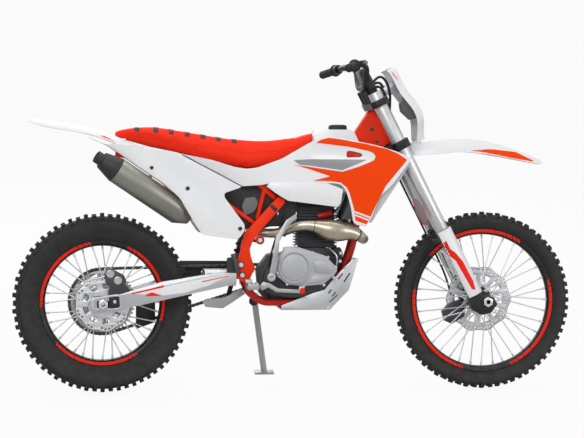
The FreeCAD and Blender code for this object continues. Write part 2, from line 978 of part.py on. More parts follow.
def chain():
    """The drive chain as one closed loop: wide outer links and narrow inner links in turn."""
    front = Vector(size("sprocket_x"), 0, size("sprocket_z"))
    rear = REAR_AXLE
    small = pitch_radius("front_teeth")
    large = pitch_radius("rear_teeth")
    centres = front - rear
    slope = math.atan2(centres.z, centres.x)
    tilt = math.asin((large - small) / centres.Length)
    run = centres.Length * math.cos(tilt)
    rear_arc = large * (math.pi + 2 * tilt)
    front_arc = small * (math.pi - 2 * tilt)
    total = 2 * run + rear_arc + front_arc
    links = 2 * round(total / size("chain_pitch") / 2)

    def place(distance):
        """The point and outward direction at a distance along the loop."""
        if distance < run:
            angle = slope + math.pi / 2 - tilt
            out = Vector(math.cos(angle), 0, math.sin(angle))
            along = Vector(out.z, 0, -out.x)
            return rear + out * large + along * distance, out
        distance -= run
        if distance < front_arc:
            angle = slope + math.pi / 2 - tilt - distance / small
            out = Vector(math.cos(angle), 0, math.sin(angle))
            return front + out * small, out
        distance -= front_arc
        angle = slope - math.pi / 2 + tilt
        out = Vector(math.cos(angle), 0, math.sin(angle))
        along = Vector(out.z, 0, -out.x)
        if distance < run:
            return front + out * small + along * distance, out
        distance -= run
        angle -= distance / large
        out = Vector(math.cos(angle), 0, math.sin(angle))
        return rear + out * large, out

    def section(index, width, height):
        at, out = place(total * index / links)
        at = at + Vector(0, size("chain_side"), 0)
        across = Vector(0, width / 2, 0)
        rise = out * (height / 2)
        return [at - across - rise, at - across + rise, at + across + rise, at + across - rise]

    outer = (size("chain_plate_width"), size("chain_plate_height"))
    inner = (size("chain_inner_width"), size("chain_inner_height"))
    faces = []
    for index in range(links):
        plates = outer if index % 2 == 0 else inner
        first = section(index, *plates)
        last = section((index + 1) % links, *plates)
        for edge in range(4):
            after = (edge + 1) % 4
            faces.append(quad([first[edge], first[after], last[after], last[edge]]))
        faces.append(ring_face(section(index, *outer), section(index, *inner)))
    return node(feature("chain", solid_of(faces)), "chain")


def axle(prefix):
    """A hollow axle with a six-sided nut at each end."""
    half = size(prefix + "_axle_length") / 2
    radius = size(prefix + "_axle_radius")
    nut = size("axle_nut_width") / 2 / math.cos(math.pi / 6)
    depth = size("axle_nut_depth")
    shaft = Part.makeCylinder(radius, 2 * half, Vector(0, -half, 0), Vector(0, 1, 0))
    ends = []
    for start in (-half, half - depth):
        corners = [around((nut, start), math.pi * step / 3) for step in range(6)]
        ends.append(quad(corners).extrude(Vector(0, depth, 0)))
    bore = Part.makeCylinder(size("axle_bore_radius"), 2 * half, Vector(0, -half, 0), Vector(0, 1, 0))
    item = shaft.multiFuse(ends).cut(bore).removeSplitter()
    return node(feature(prefix + "_axle", item), prefix + "_axle", WHEELS[prefix])


# Frame

GUSSET_SHARES = [(1.0, 0.0), (1.0, 1.0), (0.78, 0.99), (0.1, 0.58), (0.0, 0.42), (0.1, 0.08), (0.2, 0.0)]
SPAR_SHARES = [
    (0.82, 1.0), (0.99, 0.95), (0.8, 0.83), (0.52, 0.64), (0.31, 0.48), (0.25, 0.39), (0.27, 0.3),
    (0.36, 0.15), (0.29, 0.09), (0.2, 0.0), (0.1, 0.0), (0.0, 0.04), (0.0, 0.26), (0.06, 0.35),
    (0.08, 0.45), (0.15, 0.58), (0.37, 0.72), (0.66, 0.9),
]


def main_frame():
    """Head tube in its boxed gusset, backbone, and two spars down to the swingarm pivot."""
    gusset = plate("HeadGusset", share_outline("gusset", GUSSET_SHARES), "-gusset_width / 2", "gusset_width")
    gusset.Placement = FORK
    head = cylinder("HeadTube", "head_radius", "head_high - head_low", BIKE)
    head.Placement = FORK.multiply(Placement(Vector(0, 0, size("head_low")), Rotation()))
    spar = plate("Spar", share_outline("spar", SPAR_SHARES, "spar_corner"), "spar_inner", "spar_wall")
    start = Vector(size("backbone_front_x"), 0, size("backbone_front_z"))
    end = Vector(size("backbone_rear_x"), 0, size("backbone_rear_z"))
    backbone = feature("Backbone", rod(start, end, size("backbone_radius")))
    cross = cylinder(
        "TopCross", "cross_radius", "2 * spar_inner",
        crosswise("backbone_rear_x", "-spar_inner", "backbone_rear_z"),
    )
    tab_x = "shock_top_x - shock_eye_radius"
    tabs = []
    for label, near in (
        ("LeftTab", "shock_side + shock_eye_width / 2 + seat_gap"),
        ("RightTab", "shock_side - shock_eye_width / 2 - seat_gap - shock_tab_wall"),
    ):
        tabs.append(box(
            label, "backbone_rear_x - (%s)" % tab_x, "shock_tab_wall", "shock_tab_height",
            tab_x, near, "shock_top_z - shock_tab_height / 2",
        ))
    reach = "shock_eye_width + 2 * shock_tab_wall"
    tabs.append(cylinder(
        "ShockBolt", "shock_bolt_radius", reach,
        crosswise("shock_top_x", "shock_side - (%s) / 2" % reach, "shock_top_z"),
    ))
    pivot = cylinder(
        "PivotShaft", "pivot_radius", "2 * spar_inner", crosswise("pivot_x", "-spar_inner", "pivot_z")
    )
    whole = fuse("FrameWhole", [gusset, head, spar, mirrored(spar), backbone, cross, pivot] + tabs)
    bore = cylinder("HeadBore", "stem_radius + running_gap", "head_high - head_low + 2 * head_radius", BIKE)
    bore.Placement = FORK.multiply(Placement(Vector(0, 0, size("head_low - head_radius")), Rotation()))
    return node(cut("MainFrame", whole, bore), "main_frame")


CRADLE_SHARES = [
    (0.67, 0.3, 0.16), (0.665, 0.6, 0.08), (0.54, 1, 0.0), (0.12, 1, 0.005), (0.04, 1.18, 0.06),
    (0.0, 1.18, 0.17),
]
DOWN_TUBE_SHARES = [
    (0.875, 0.0, 1.1), (0.795, 0.0, 0.53), (0.76, 0.0, 0.36), (0.69, 0.0, 0.2), (0.68, 0.0, 0.14),
]
CROSS_SHARE = 0.7
CRADLE_CROSS_SHARE = 0.3
CRADLE_JOINT_SHARES = (0.67, 0.12)


def lower_cradle():
    """The down tube and the two rails that run back under the engine to the spars."""
    rail = tube(route("cradle", "cradle_spread", CRADLE_SHARES), size("cradle_radius"))
    down = tube(route("cradle", "cradle_spread", DOWN_TUBE_SHARES), size("down_tube_radius"))
    block = size("cradle_block")
    keep = Part.makeBox(
        20 * block, 4 * block, size("gusset_z - seat_gap"), Vector(-15 * block, -2 * block, 0)
    )
    keep.Placement = FORK
    down = down.common(keep)
    below = Part.makeBox(
        20 * block, 8 * block, size("spar_z - seat_gap"), Vector(0, -4 * block, 0)
    )
    rail = rail.common(below)
    cross_z = size("cradle_z")
    cross_x = size("cradle_x + cradle_length * %s" % CRADLE_CROSS_SHARE)
    spread = size("cradle_spread")
    cross = rod(
        Vector(cross_x, -spread, cross_z), Vector(cross_x, spread, cross_z), size("cradle_radius") * CROSS_SHARE
    )
    along, up = CRADLE_JOINT_SHARES
    joint_x = size("cradle_x + cradle_length * %s" % along) - block / 2
    joint_z = size("cradle_z + cradle_height * %s" % up)
    joint = Part.makeBox(block, block, block, Vector(joint_x, -block / 2, joint_z))
    whole = down.multiFuse([rail, flipped(rail), cross, joint]).removeSplitter()
    return node(feature("lower_cradle", whole), "lower_cradle")


RAIL_SHARES = [(0.97, 1.0196, 0.39), (0.8, 0.98, 0.66), (0.42, 0.95, 0.74), (0.02, 0.8, 0.88)]
STRUT_SHARES = [(0.84, 1.0, 0.116), (0.36, 0.95, 0.75)]
FRONT_STRUT_SHARES = [(0.862, 1.023, 0.16), (0.905, 1.0, 0.49)]
RAIL_CROSS_SHARES = [(0.42, 0.74), (0.06, 0.87)]
RAIL_CROSS_REACH_SHARE = 0.9
STRUT_SHARE = 0.8


def subframe():
    """Two rails under the seat with a strut each, joined by cross tubes."""
    radius = size("rail_radius")
    rail = tube(route("rail", "rail_spread", RAIL_SHARES), radius)
    parts = [flipped(rail)]
    for shares in (STRUT_SHARES, FRONT_STRUT_SHARES):
        low, high = route("rail", "rail_spread", shares)
        strut = rod(low, high, radius * STRUT_SHARE)
        parts += [strut, flipped(strut)]
    for along, up in RAIL_CROSS_SHARES:
        reach = RAIL_CROSS_REACH_SHARE
        ends = route("rail", "rail_spread", [(along, -reach, up), (along, reach, up)])
        parts.append(rod(ends[0], ends[1], radius * STRUT_SHARE))
    return node(feature("subframe", rail.multiFuse(parts).removeSplitter()), "subframe")


# Engine

CASE_SHARES = [
    (0.05, 0.22), (0.12, 0.1), (0.66, 0.1), (0.8, 0.15), (0.9, 0.3), (0.93, 0.5), (0.93, 0.7), (0.9, 0.99),
    (0.5, 1.0), (0.42, 0.92), (0.16, 0.88), (0.02, 0.62),
]
LEFT_FLANK_SHARES = [
    (0.34, 0.22), (0.42, 0.14), (0.72, 0.14), (0.86, 0.28), (0.92, 0.46), (0.92, 0.64), (0.5, 0.92),
    (0.38, 0.86), (0.34, 0.6),
]
RIGHT_FLANK_SHARES = [
    (0.06, 0.3), (0.16, 0.2), (0.42, 0.14), (0.72, 0.14), (0.86, 0.28), (0.92, 0.46), (0.92, 0.64),
    (0.5, 0.92), (0.3, 0.86), (0.1, 0.6),
]
COVER_SHARES = [
    (0.0, 0.62), (0.02, 0.3), (0.2, 0.08), (0.46, 0.04), (0.76, 0.08), (0.94, 0.3), (1.0, 0.46),
    (0.8, 0.78), (0.38, 0.99), (0.18, 1.0),
]


def crankcase():
    """The engine's lower case with its flanks, the stator cover and the front sprocket's shaft."""
    case = plate("Case", share_outline("case", CASE_SHARES, "case_corner"), "-case_half", "2 * case_half")
    outline = share_outline("case", RIGHT_FLANK_SHARES, "case_corner")
    right = plate("RightFlank", outline, "case_half", "case_flank")
    left = plate(
        "LeftFlank", share_outline("case", LEFT_FLANK_SHARES, "case_corner"),
        "-case_half - case_flank", "case_flank",
    )
    drive = cylinder(
        "DriveSprocket", "drive_radius", "sprocket_thickness",
        crosswise("sprocket_x", "chain_side - sprocket_thickness / 2", "sprocket_z"),
    )
    stator = cylinder(
        "StatorCover", "stator_radius", "case_flank + stator_depth", crosswise("stator_x", "case_half", "stator_z")
    )
    shaft = cylinder(
        "SprocketShaft", "pivot_radius", "chain_side - case_half",
        crosswise("sprocket_x", "case_half", "sprocket_z"),
    )
    parts = [case, right, left, stator, shaft, drive]
    return node(fuse("Crankcase", parts), "crankcase")


# Raised panels on the cover's face, apart from each other by narrow cut lines

COVER_PANEL_SHARES = [
    [(0.06, 0.34), (0.2, 0.16), (0.4, 0.12), (0.44, 0.2), (0.14, 0.46)],
    [(0.5, 0.12), (0.72, 0.14), (0.86, 0.28), (0.62, 0.3)],
    [(0.66, 0.38), (0.88, 0.36), (0.92, 0.46), (0.76, 0.7), (0.6, 0.62)],
]


def clutch_cover():
    """The right-hand cover with the round clutch boss."""
    start = "case_half + case_flank + seat_gap"
    cover = plate("SideCover", share_outline("cover", COVER_SHARES, "cover_corner"), start, "cover_depth")
    boss = cylinder(
        "ClutchBoss", "clutch_radius", "cover_depth + clutch_depth",
        crosswise("clutch_x", "-(%s) - cover_depth - clutch_depth" % start, "clutch_z"),
    )
    groove = cylinder(
        "ClutchGroove", "clutch_radius - rib_wall", "rib_wall",
        crosswise("clutch_x", "-(%s) - cover_depth - clutch_depth" % start, "clutch_z"),
    )
    face = cylinder(
        "ClutchFace", "clutch_radius - 2 * rib_wall", "2 * rib_wall",
        crosswise("clutch_x", "-(%s) - cover_depth - clutch_depth" % start, "clutch_z"),
    )
    panels = []
    for index, shares in enumerate(COVER_PANEL_SHARES):
        panels.append(plate(
            "CoverPanel%d" % index, share_outline("cover", shares),
            start + " + cover_depth - rib_wall", "2 * rib_wall",
        ))
    raised = cut("ClutchRing", fuse("ClutchWhole", [cover, boss] + panels), groove)
    return node(fuse("ClutchCover", [raised, face]), "clutch_cover")


def rectangle(x, y, length, width):
    """An outline on the XY plane from its lowest corner."""
    return [
        (x, y, None),
        ("%s + %s" % (x, length), y, None),
        ("%s + %s" % (x, length), "%s + %s" % (y, width), None),
        (x, "%s + %s" % (y, width), None),
    ]


def finned_block(name, start, height):
    """A block with cooling fins all round, from a height upwards."""
    body = new_body(name)
    core = rectangle("barrel_x", "-barrel_width / 2", "barrel_length", "barrel_width")
    pad(body, core, start, height, "XY_Plane")
    reach = rectangle(
        "barrel_x - fin_reach", "-barrel_width / 2 - fin_reach",
        "barrel_length + 2 * fin_reach", "barrel_width + 2 * fin_reach",
    )
    fin = pad(body, reach, start + " + fin_thickness", "fin_thickness", "XY_Plane")
    doc.recompute()
    pattern = body.newObject("PartDesign::LinearPattern", name + "Fins")
    pattern.Originals = [fin]
    pattern.Direction = (origin_part(body, "Z_Axis"), [""])
    bind(pattern, Length="fin_pitch * (fin_count - 1)", Occurrences="fin_count")
    body.Tip = pattern
    return body


def cylinder_barrel():
    start = "case_z + case_height + seat_gap"
    return node(finned_block("Barrel", start, "barrel_height"), "cylinder")


def cylinder_head():
    """The finned head and, on top, the narrower rocker cover."""
    start = "case_z + case_height + 2 * seat_gap + barrel_height"
    block = finned_block("Head", start, "head_block_height")
    cover = new_body("RockerCover")
    outline = rectangle(
        "barrel_x + fin_reach", "-barrel_width / 2 + fin_reach",
        "barrel_length - 2 * fin_reach", "barrel_width - 2 * fin_reach",
    )
    pad(cover, outline, start + " + head_block_height - fin_reach", "head_cover_height", "XY_Plane")
    return node(fuse("CylinderHead", [block, cover]), "cylinder_head")


BOWL_SHARE = 1.6
BOWL_LENGTH_SHARE = 0.6
BOWL_START_SHARE = 0.2
BOWL_DROP_SHARE = 0.3
SLIDE_SHARE = 0.75
BOOT_SHARE = 0.68


def carburettor():
    """The carburettor body with its float bowl and the boot back to the airbox."""
    side = -size("carb_side")
    start = Vector(size("carb_x"), side, size("carb_z"))
    end = Vector(size("barrel_x - fin_reach - seat_gap"), side, size("carb_z"))
    body = rod(start, end, size("carb_radius"))
    bowl_width = size("carb_radius") * BOWL_SHARE
    length = size("carb_length")
    radius = size("carb_radius")
    drop = size("bowl_height") + radius * BOWL_DROP_SHARE
    bowl = Part.makeBox(
        length * BOWL_LENGTH_SHARE, bowl_width, size("bowl_height"),
        start + Vector(length * BOWL_START_SHARE, -bowl_width / 2, -drop),
    )
    middle = start + Vector(length / 2, 0, 0)
    slide = rod(middle, middle + Vector(0, 0, size("bowl_height")), radius * SLIDE_SHARE)
    rear = Vector(size("airbox_x + airbox_length") - size("airbox_length") * (1 - BOOT_SHARE), side, start.z)
    rear.x += size("seat_gap")
    boot = rod(start, rear, size("boot_radius"))
    whole = body.multiFuse([bowl, slide, boot]).removeSplitter()
    return node(feature("carburettor", whole), "carburettor")


AIRBOX_SHARES = [
    (0.0, 0.5), (0.3, 0.05), (0.42, 0.0), (0.62, 0.0), (0.68, 0.08), (0.68, 0.3), (1.0, 0.72),
    (1.0, 0.8), (0.5, 0.93), (0.0, 1.03),
]


def airbox():
    outline = share_outline("airbox", AIRBOX_SHARES, "airbox_corner")
    return node(plate("Airbox", outline, "-airbox_width / 2", "airbox_width"), "airbox")


# Tank, cap, seat and rear fender

TANK_SHARES = [
    (0.0, 0.15), (0.22, 0.0), (0.78, 0.02), (0.92, 0.5), (0.96, 0.7), (0.86, 1.0), (0.5, 1.0),
    (0.452, 0.9), (0.452, 0.755), (0.125, 0.45), (0.0, 0.43),
]
ROUND_CORNERS = (0, 1, 2, 4, 5)
TUNNEL_RISE_SHARE = 1.3
TUNNEL_CROWN_SHARE = 0.72
FLANK_PLATE_SHARES = [
    (0.0, 0.84), (0.12, 0.56), (0.28, 0.26), (0.93, 0.0), (0.97, 0.16), (1.0, 0.72), (0.8, 0.96), (0.05, 1.0),
]


def tank_outline():
    """The tank's side outline, round at its outer corners and sharp where the seat lies on it."""
    outline = share_outline("tank", TANK_SHARES)
    return [
        (across, up, "tank_corner" if index in ROUND_CORNERS else None)
        for index, (across, up, radius) in enumerate(outline)
    ]


def fuel_tank():
    """The tank with its two lower flanks, open below where the backbone passes."""
    tank = plate("TankShell", tank_outline(), "-tank_width / 2", "tank_width")
    flank = plate(
        "TankFlank", share_outline("flank", FLANK_PLATE_SHARES), "tank_width / 2 - flank_wall / 6", "flank_wall"
    )
    tunnel = new_body("TankTunnel")
    rise = "backbone_radius * %s" % TUNNEL_RISE_SHARE
    outline = [
        ("tank_x - backbone_radius", "backbone_rear_z + %s - 2 * backbone_radius" % rise, None),
        ("tank_x - backbone_radius", "tank_z - tank_height", None),
        ("tank_x + tank_length + backbone_radius", "tank_z - tank_height", None),
        ("tank_x + tank_length + backbone_radius", "tank_z + tank_height + 3 * backbone_radius", None),
        ("tank_x + tank_length - backbone_radius", "tank_z + tank_height + 3 * backbone_radius", None),
        ("cap_x", "tank_z + tank_height * %s" % TUNNEL_CROWN_SHARE, None),
        ("backbone_rear_x", "backbone_rear_z + %s" % rise, None),
    ]
    pad(tunnel, outline, "-tunnel_width / 2", "tunnel_width")
    whole = fuse("TankWhole", [tank, flank, mirrored(flank)])
    return node(cut("FuelTank", whole, tunnel), "fuel_tank")


def tank_cap():
    place = Placement(Vector(size("cap_x"), 0, size("tank_z + tank_height + seat_gap")), Rotation())
    return node(cylinder("TankCap", "cap_radius", "cap_height", place), "tank_cap")


# Seat sections: station along the seat, then bottom, edge and top heights and half width, as shares

SEAT_SHARES = [
    (0.0, 0.82, 0.86, 0.92, 0.3),
    (0.1, 0.7, 0.9, 0.99, 0.42),
    (0.35, 0.34, 0.72, 0.86, 0.5),
    (0.62, 0.04, 0.5, 0.66, 0.5),
    (0.82, 0.1, 0.52, 0.68, 0.42),
    (0.97, 0.6, 0.8, 0.92, 0.3),
]
SEAT_TOP_SHARE = 0.7
SEAT_FOOT_SHARE = 0.9


def seat():
    """The long low seat, crowned across and swept up at both ends."""
    sections = []
    for along, bottom, edge, top, half in SEAT_SHARES:
        low = "seat_z + seat_rise * %s" % bottom
        side = "seat_z + seat_rise * %s" % edge
        high = "seat_z + seat_rise * %s" % top
        outline = [
            ("-seat_width * %s * %s" % (half, SEAT_FOOT_SHARE), low, None),
            ("seat_width * %s * %s" % (half, SEAT_FOOT_SHARE), low, None),
            ("seat_width * %s" % half, side, None),
            ("seat_width * %s * %s" % (half, SEAT_TOP_SHARE), high, None),
            ("-seat_width * %s * %s" % (half, SEAT_TOP_SHARE), high, None),
            ("-seat_width * %s" % half, side, None),
        ]
        sections.append(("seat_x + seat_length * %s" % along, outline))
    cushion = lofted("SeatCushion", sections)
    bed = plate("SeatBed", tank_outline(), "-tank_width", "2 * tank_width")
    bed.Placement = Placement(Vector(-size("seat_gap"), 0, size("seat_gap")), Rotation())
    return node(cut("Seat", cushion, bed), "seat")


SHOULDER_SHARE = 0.72


def arched(width, half, z, crown, wall):
    """An arched sheet across the machine: crown above the edges, as sums of named sizes."""
    side = "%s * %s" % (width, half)
    shoulder = "%s * %s" % (side, SHOULDER_SHARE)
    top = "%s + %s" % (z, crown)
    return [
        ("-" + side, z, None),
        ("-%s + %s" % (side, wall), z, None),
        ("-%s + %s / 2" % (shoulder, wall), "%s - %s" % (top, wall), None),
        ("%s - %s / 2" % (shoulder, wall), "%s - %s" % (top, wall), None),
        ("%s - %s" % (side, wall), z, None),
        (side, z, None),
        (shoulder, top, None),
        ("-" + shoulder, top, None),
    ]


REAR_FENDER_SHARES = [
    (0.0, 0.88, 0.3, 0.12),
    (0.28, 0.62, 0.46, 0.2),
    (0.52, 0.42, 0.5, 0.22),
    (0.68, 0.19, 0.46, 0.22),
    (0.98, -0.13, 0.4, 0.16),
]


FENDER_FOOT_SHARE = 0.72
FENDER_FOOT_RISE_SHARE = 0.4
FENDER_FOOT_LIFT_SHARE = 1.2


def rear_fender():
    """The rear fender: an arched sheet that rises to its tip."""
    sections = []
    for along, up, half, crown in REAR_FENDER_SHARES:
        outline = arched(
            "fender_width", half, "fender_z + fender_rise * %s" % up, "fender_rise * %s" % crown, "fender_wall"
        )
        sections.append(("fender_x + fender_length * %s" % along, outline))
    foot_x = size("fender_x + fender_length * %s" % FENDER_FOOT_SHARE)
    near = min(rail_points(), key=lambda point: abs(point.x - foot_x))
    radius = size("rail_radius")
    low = near.z + radius * FENDER_FOOT_LIFT_SHARE + size("seat_gap")
    corner = Vector(near.x - radius, near.y - radius / 2, low)
    block = Part.makeBox(2 * radius, radius, size("fender_rise") * FENDER_FOOT_RISE_SHARE, corner)
    feet = feature("FenderFeet", Part.makeCompound([block, flipped(block)]))
    return node(fuse("RearFender", [lofted("RearSheet", sections), feet]), "rear_fender")


# Side panels and shrouds

SHROUD_SHARES = [
    (0.0, 0.93), (0.07, 0.97), (0.17, 1.0), (0.31, 0.98), (0.63, 0.905), (0.82, 0.84), (0.985, 0.765),
    (0.92, 0.66), (0.78, 0.45), (0.68, 0.35), (0.58, 0.07), (0.54, 0.0), (0.42, 0.04), (0.39, 0.24),
    (0.35, 0.4), (0.3, 0.47), (0.24, 0.49), (0.0, 0.62),
]
PANEL_SHARES = [
    (0.0, 1.0), (0.11, 0.925), (0.2, 0.93), (0.35, 0.91), (0.575, 0.84), (0.62, 0.795), (0.975, 0.51),
    (0.86, 0.45), (0.86, 0.41), (0.99, 0.14), (0.985, 0.08), (0.95, 0.0), (0.72, 0.045), (0.67, 0.16),
    (0.58, 0.4), (0.48, 0.54), (0.31, 0.715), (0.22, 0.81), (0.13, 0.91), (0.05, 0.96),
]


def flared(item, prefix):
    """Turn a piece outwards about an upright line at its rear edge."""
    turn = Rotation(Vector(0, 0, 1), -size(prefix + "_flare"))
    hinge = Vector(size(prefix + "_x"), -size(prefix + "_side"), 0)
    item.Placement = Placement(hinge - turn.multVec(hinge), turn)
    return item


def standoffs(prefix, feet):
    """Pins on the right side that carry a flared sheet, each from its foot out into the sheet."""
    spread = math.tan(math.radians(size(prefix + "_flare")))
    pins = []
    for foot in feet:
        out = size(prefix + "_side + %s_wall / 2" % prefix) + (foot.x - size(prefix + "_x")) * spread
        pins.append(rod(foot, Vector(foot.x, -out, foot.z), size("panel_pin_radius")))
    return feature(prefix.title() + "Pins", Part.makeCompound(pins))


SHROUD_PIN_SHARES = [(0.16, 0.78), (0.4, 0.86)]


def tank_shrouds():
    """The two shrouds, each a sheet that flares out towards its front tip, with its pins to the tank."""
    outline = share_outline("shroud", SHROUD_SHARES)
    sheet_body = flared(plate("Shroud", outline, "shroud_side", "shroud_wall"), "shroud")
    feet = [
        Vector(
            size("shroud_x + shroud_length * %s" % along), -size("tank_width / 2 + seat_gap"),
            size("shroud_z + shroud_height * %s" % up),
        )
        for along, up in SHROUD_PIN_SHARES
    ]
    return node(pair("Shrouds", fuse("ShroudWhole", [sheet_body, standoffs("shroud", feet)])), "tank_shrouds")


# Where the panel's two pins stand along the seat rail, as shares of the rail from its front end

PANEL_PIN_SHARES = (0.52, 0.8)
PIN_STEPS = 100


def rail_points():
    """Points along the right seat rail from its front end."""
    rail = bent_wire(route("rail", "rail_spread", RAIL_SHARES)).discretize(PIN_STEPS)
    return [Vector(point.x, -point.y, point.z) for point in rail]


def side_panels():
    outline = share_outline("panel", PANEL_SHARES)
    sheet_body = flared(plate("Panel", outline, "panel_side", "panel_wall"), "panel")
    rail = rail_points()
    side = Vector(0, size("rail_radius + seat_gap"), 0)
    feet = [rail[int(share * PIN_STEPS)] - side for share in PANEL_PIN_SHARES]
    whole = fuse("PanelWhole", [sheet_body, standoffs("panel", feet)])
    return node(pair("Panels", whole), "side_panels")


# Cooling and exhaust

RADIATOR_SHARES = [(0.0, 0.0), (0.31, 0.0), (1.0, 1.0), (0.69, 1.0)]
RADIATOR_SLOPE_SHARE = 0.69
RADIATOR_TAB_SHARES = (0.58, 0.62)


def louvres():
    """Level slots across the radiator's front face, following its slope."""
    count = int(size("louvre_count"))
    pitch = size("radiator_height") / (count + 1)
    slots = []
    for step in range(count):
        up = (step + 1) / (count + 1)
        front = size("radiator_x + radiator_length") - size("radiator_length") * RADIATOR_SLOPE_SHARE * (1 - up)
        slots.append(Part.makeBox(
            size("louvre_depth") * 2, size("radiator_width - 2 * louvre_depth"), pitch / 2,
            Vector(front - size("louvre_depth"), -size("radiator_inner + radiator_width - louvre_depth"),
                   size("radiator_z") + size("radiator_height") * up - pitch / 4),
        ))
    return feature("Louvres", Part.makeCompound(slots))


def radiators():
    """The two radiators with their louvred fronts, each with a tab to the down tube."""
    block = plate("Radiator", share_outline("radiator", RADIATOR_SHARES), "radiator_inner", "radiator_width")
    core = cut("RadiatorCore", block, louvres())
    along, up = RADIATOR_TAB_SHARES
    tab = box(
        "RadiatorTab", "radiator_tab_length", "radiator_inner - down_tube_radius", "radiator_tab_height",
        "radiator_x + radiator_length * %s" % along, "-radiator_inner - seat_gap",
        "radiator_z + radiator_height * %s" % up,
    )
    return node(pair("Radiators", fuse("RadiatorWhole", [core, tab])), "radiators")


HEADER_SHARES = [
    (0.836, 0.22, 0.75), (0.865, 0.22, 0.75), (0.925, 0.36, 0.38), (1.0, 0.58, 0.0), (0.97, 0.96, 0.3),
    (0.88, 1.0, 0.44), (0.6, 1.0, 0.5), (0.5, 0.74, 0.38), (0.4, 0.44, 0.38), (0.2, 0.44, 0.45),
]


CHAMBER_RISE_SHARE = 0.47
CHAMBER_TAPER_SHARE = 1.5


def exhaust_header():
    """The header: forward out of the head, round to the right, through a chamber and back."""
    points = route("header", "-header_side", HEADER_SHARES)
    rear_end, front_end = muffler_ends()
    onward = (front_end - rear_end).normalize()
    last = front_end + onward * size("muffler_cone + seat_gap")
    points += [last + onward * size("muffler_cone"), last]
    pipe = tube(points, size("header_radius"))
    side = -size("header_side")
    up = size("header_z + header_height * %s" % CHAMBER_RISE_SHARE)
    taper = size("bomb_radius")
    start = Vector(size("bomb_x"), side, up)
    along = Vector(1, 0, 0)
    length = size("bomb_length")
    mid = length - taper * CHAMBER_TAPER_SHARE
    rear = Part.makeCone(size("header_radius"), taper, taper, start, along)
    body = Part.makeCylinder(taper, mid, start + along * taper, along)
    front = Part.makeCone(taper, size("header_radius"), taper / 2, start + along * (taper + mid), along)
    whole = pipe.multiFuse([rear, body, front]).removeSplitter()
    return node(feature("exhaust_header", whole), "exhaust_header")


def muffler_ends():
    rear = Vector(size("muffler_rear_x"), -size("muffler_rear_side"), size("muffler_rear_z"))
    front = Vector(size("muffler_front_x"), -size("muffler_front_side"), size("muffler_front_z"))
    return rear, front


CONE_END_SHARE = 1.2
CAP_END_SHARE = 1.35
OUTLET_BORE_SHARE = 0.75


def muffler():
    """The silencer can with the cone that takes the header."""
    rear, front = muffler_ends()
    along = (front - rear).normalize()
    can = rod(rear, front, size("muffler_radius"))
    cone = Part.makeCone(
        size("muffler_radius"), size("header_radius") * CONE_END_SHARE, size("muffler_cone"), front, along
    )
    middle = (rear + front) / 2
    near = min(rail_points(), key=lambda point: (point - middle).Length)
    up = (near - middle).normalize()
    stay = rod(middle, near - up * size("rail_radius + seat_gap"), size("muffler_stay_radius"))
    return node(feature("muffler", can.multiFuse([cone, stay]).removeSplitter()), "muffler")


def muffler_cap():
    """The end cap that narrows to the outlet, open at the tip."""
    rear, front = muffler_ends()
    back = (rear - front).normalize()
    start = rear + back * size("seat_gap")
    tip = size("muffler_tip_radius")
    cap = Part.makeCone(size("muffler_radius"), tip * CAP_END_SHARE, size("muffler_cap_length"), start, back)
    mouth = start + back * size("muffler_cap_length")
    outlet = Part.makeCylinder(tip, size("muffler_tip_length"), mouth, back)
    bore = Part.makeCylinder(
        tip * OUTLET_BORE_SHARE, size("muffler_tip_length + muffler_cap_length / 2"),
        mouth + back * size("muffler_tip_length"), back * -1,
    )
    return node(feature("muffler_cap", cap.fuse(outlet).cut(bore).removeSplitter()), "muffler_cap")


SKID_SHARES = [
    (0.0, 0.0), (0.66, 0.0), (0.92, 0.39), (1.05, 1.0), (0.97, 1.0), (0.7, 0.6), (0.59, 0.4), (0.45, 0.34),
    (0.0, 0.09),
]
SKID_INSIDE_SHARES = [(-0.05, 0.03), (0.65, 0.03), (0.9, 0.41), (1.045, 1.1), (-0.05, 1.1)]
SKID_FLOOR_SHARE = 0.03
SKID_FOOT_SHARE = 0.1
SKID_FOOT_RISE_SHARE = 0.00195


def skid_plate():
    """The folded guard under the engine: a floor, a front and two low sides."""
    body = plate("SkidPlate", share_outline("skid", SKID_SHARES), "-skid_width / 2", "skid_width")
    pocket(
        body, share_outline("skid", SKID_INSIDE_SHARES),
        "skid_width / 2 - skid_wall", "skid_width - 2 * skid_wall",
    )
    inside = "skid_z + skid_height * %s" % SKID_FLOOR_SHARE
    foot = box(
        "SkidFoot", "skid_foot_length", "2 * cradle_radius",
        "cradle_z + cradle_height * %s - cradle_radius - seat_gap - (%s)" % (SKID_FOOT_RISE_SHARE, inside),
        "skid_x + skid_length * %s" % SKID_FOOT_SHARE, "cradle_spread - cradle_radius", inside,
    )
    return node(fuse("SkidWhole", [body, foot, mirrored(foot)]), "skid_plate")


# Rear suspension

ARM_SHARES = [
    (0.0, 0.18), (0.02, 0.39), (0.2, 0.47), (0.5, 0.79), (0.89, 1.0), (1.0, 0.99), (1.0, 0.72),
    (0.88, 0.64), (0.77, 0.545), (0.49, 0.305), (0.21, 0.1), (0.02, 0.0),
]


NECK_SHARE = 1.6


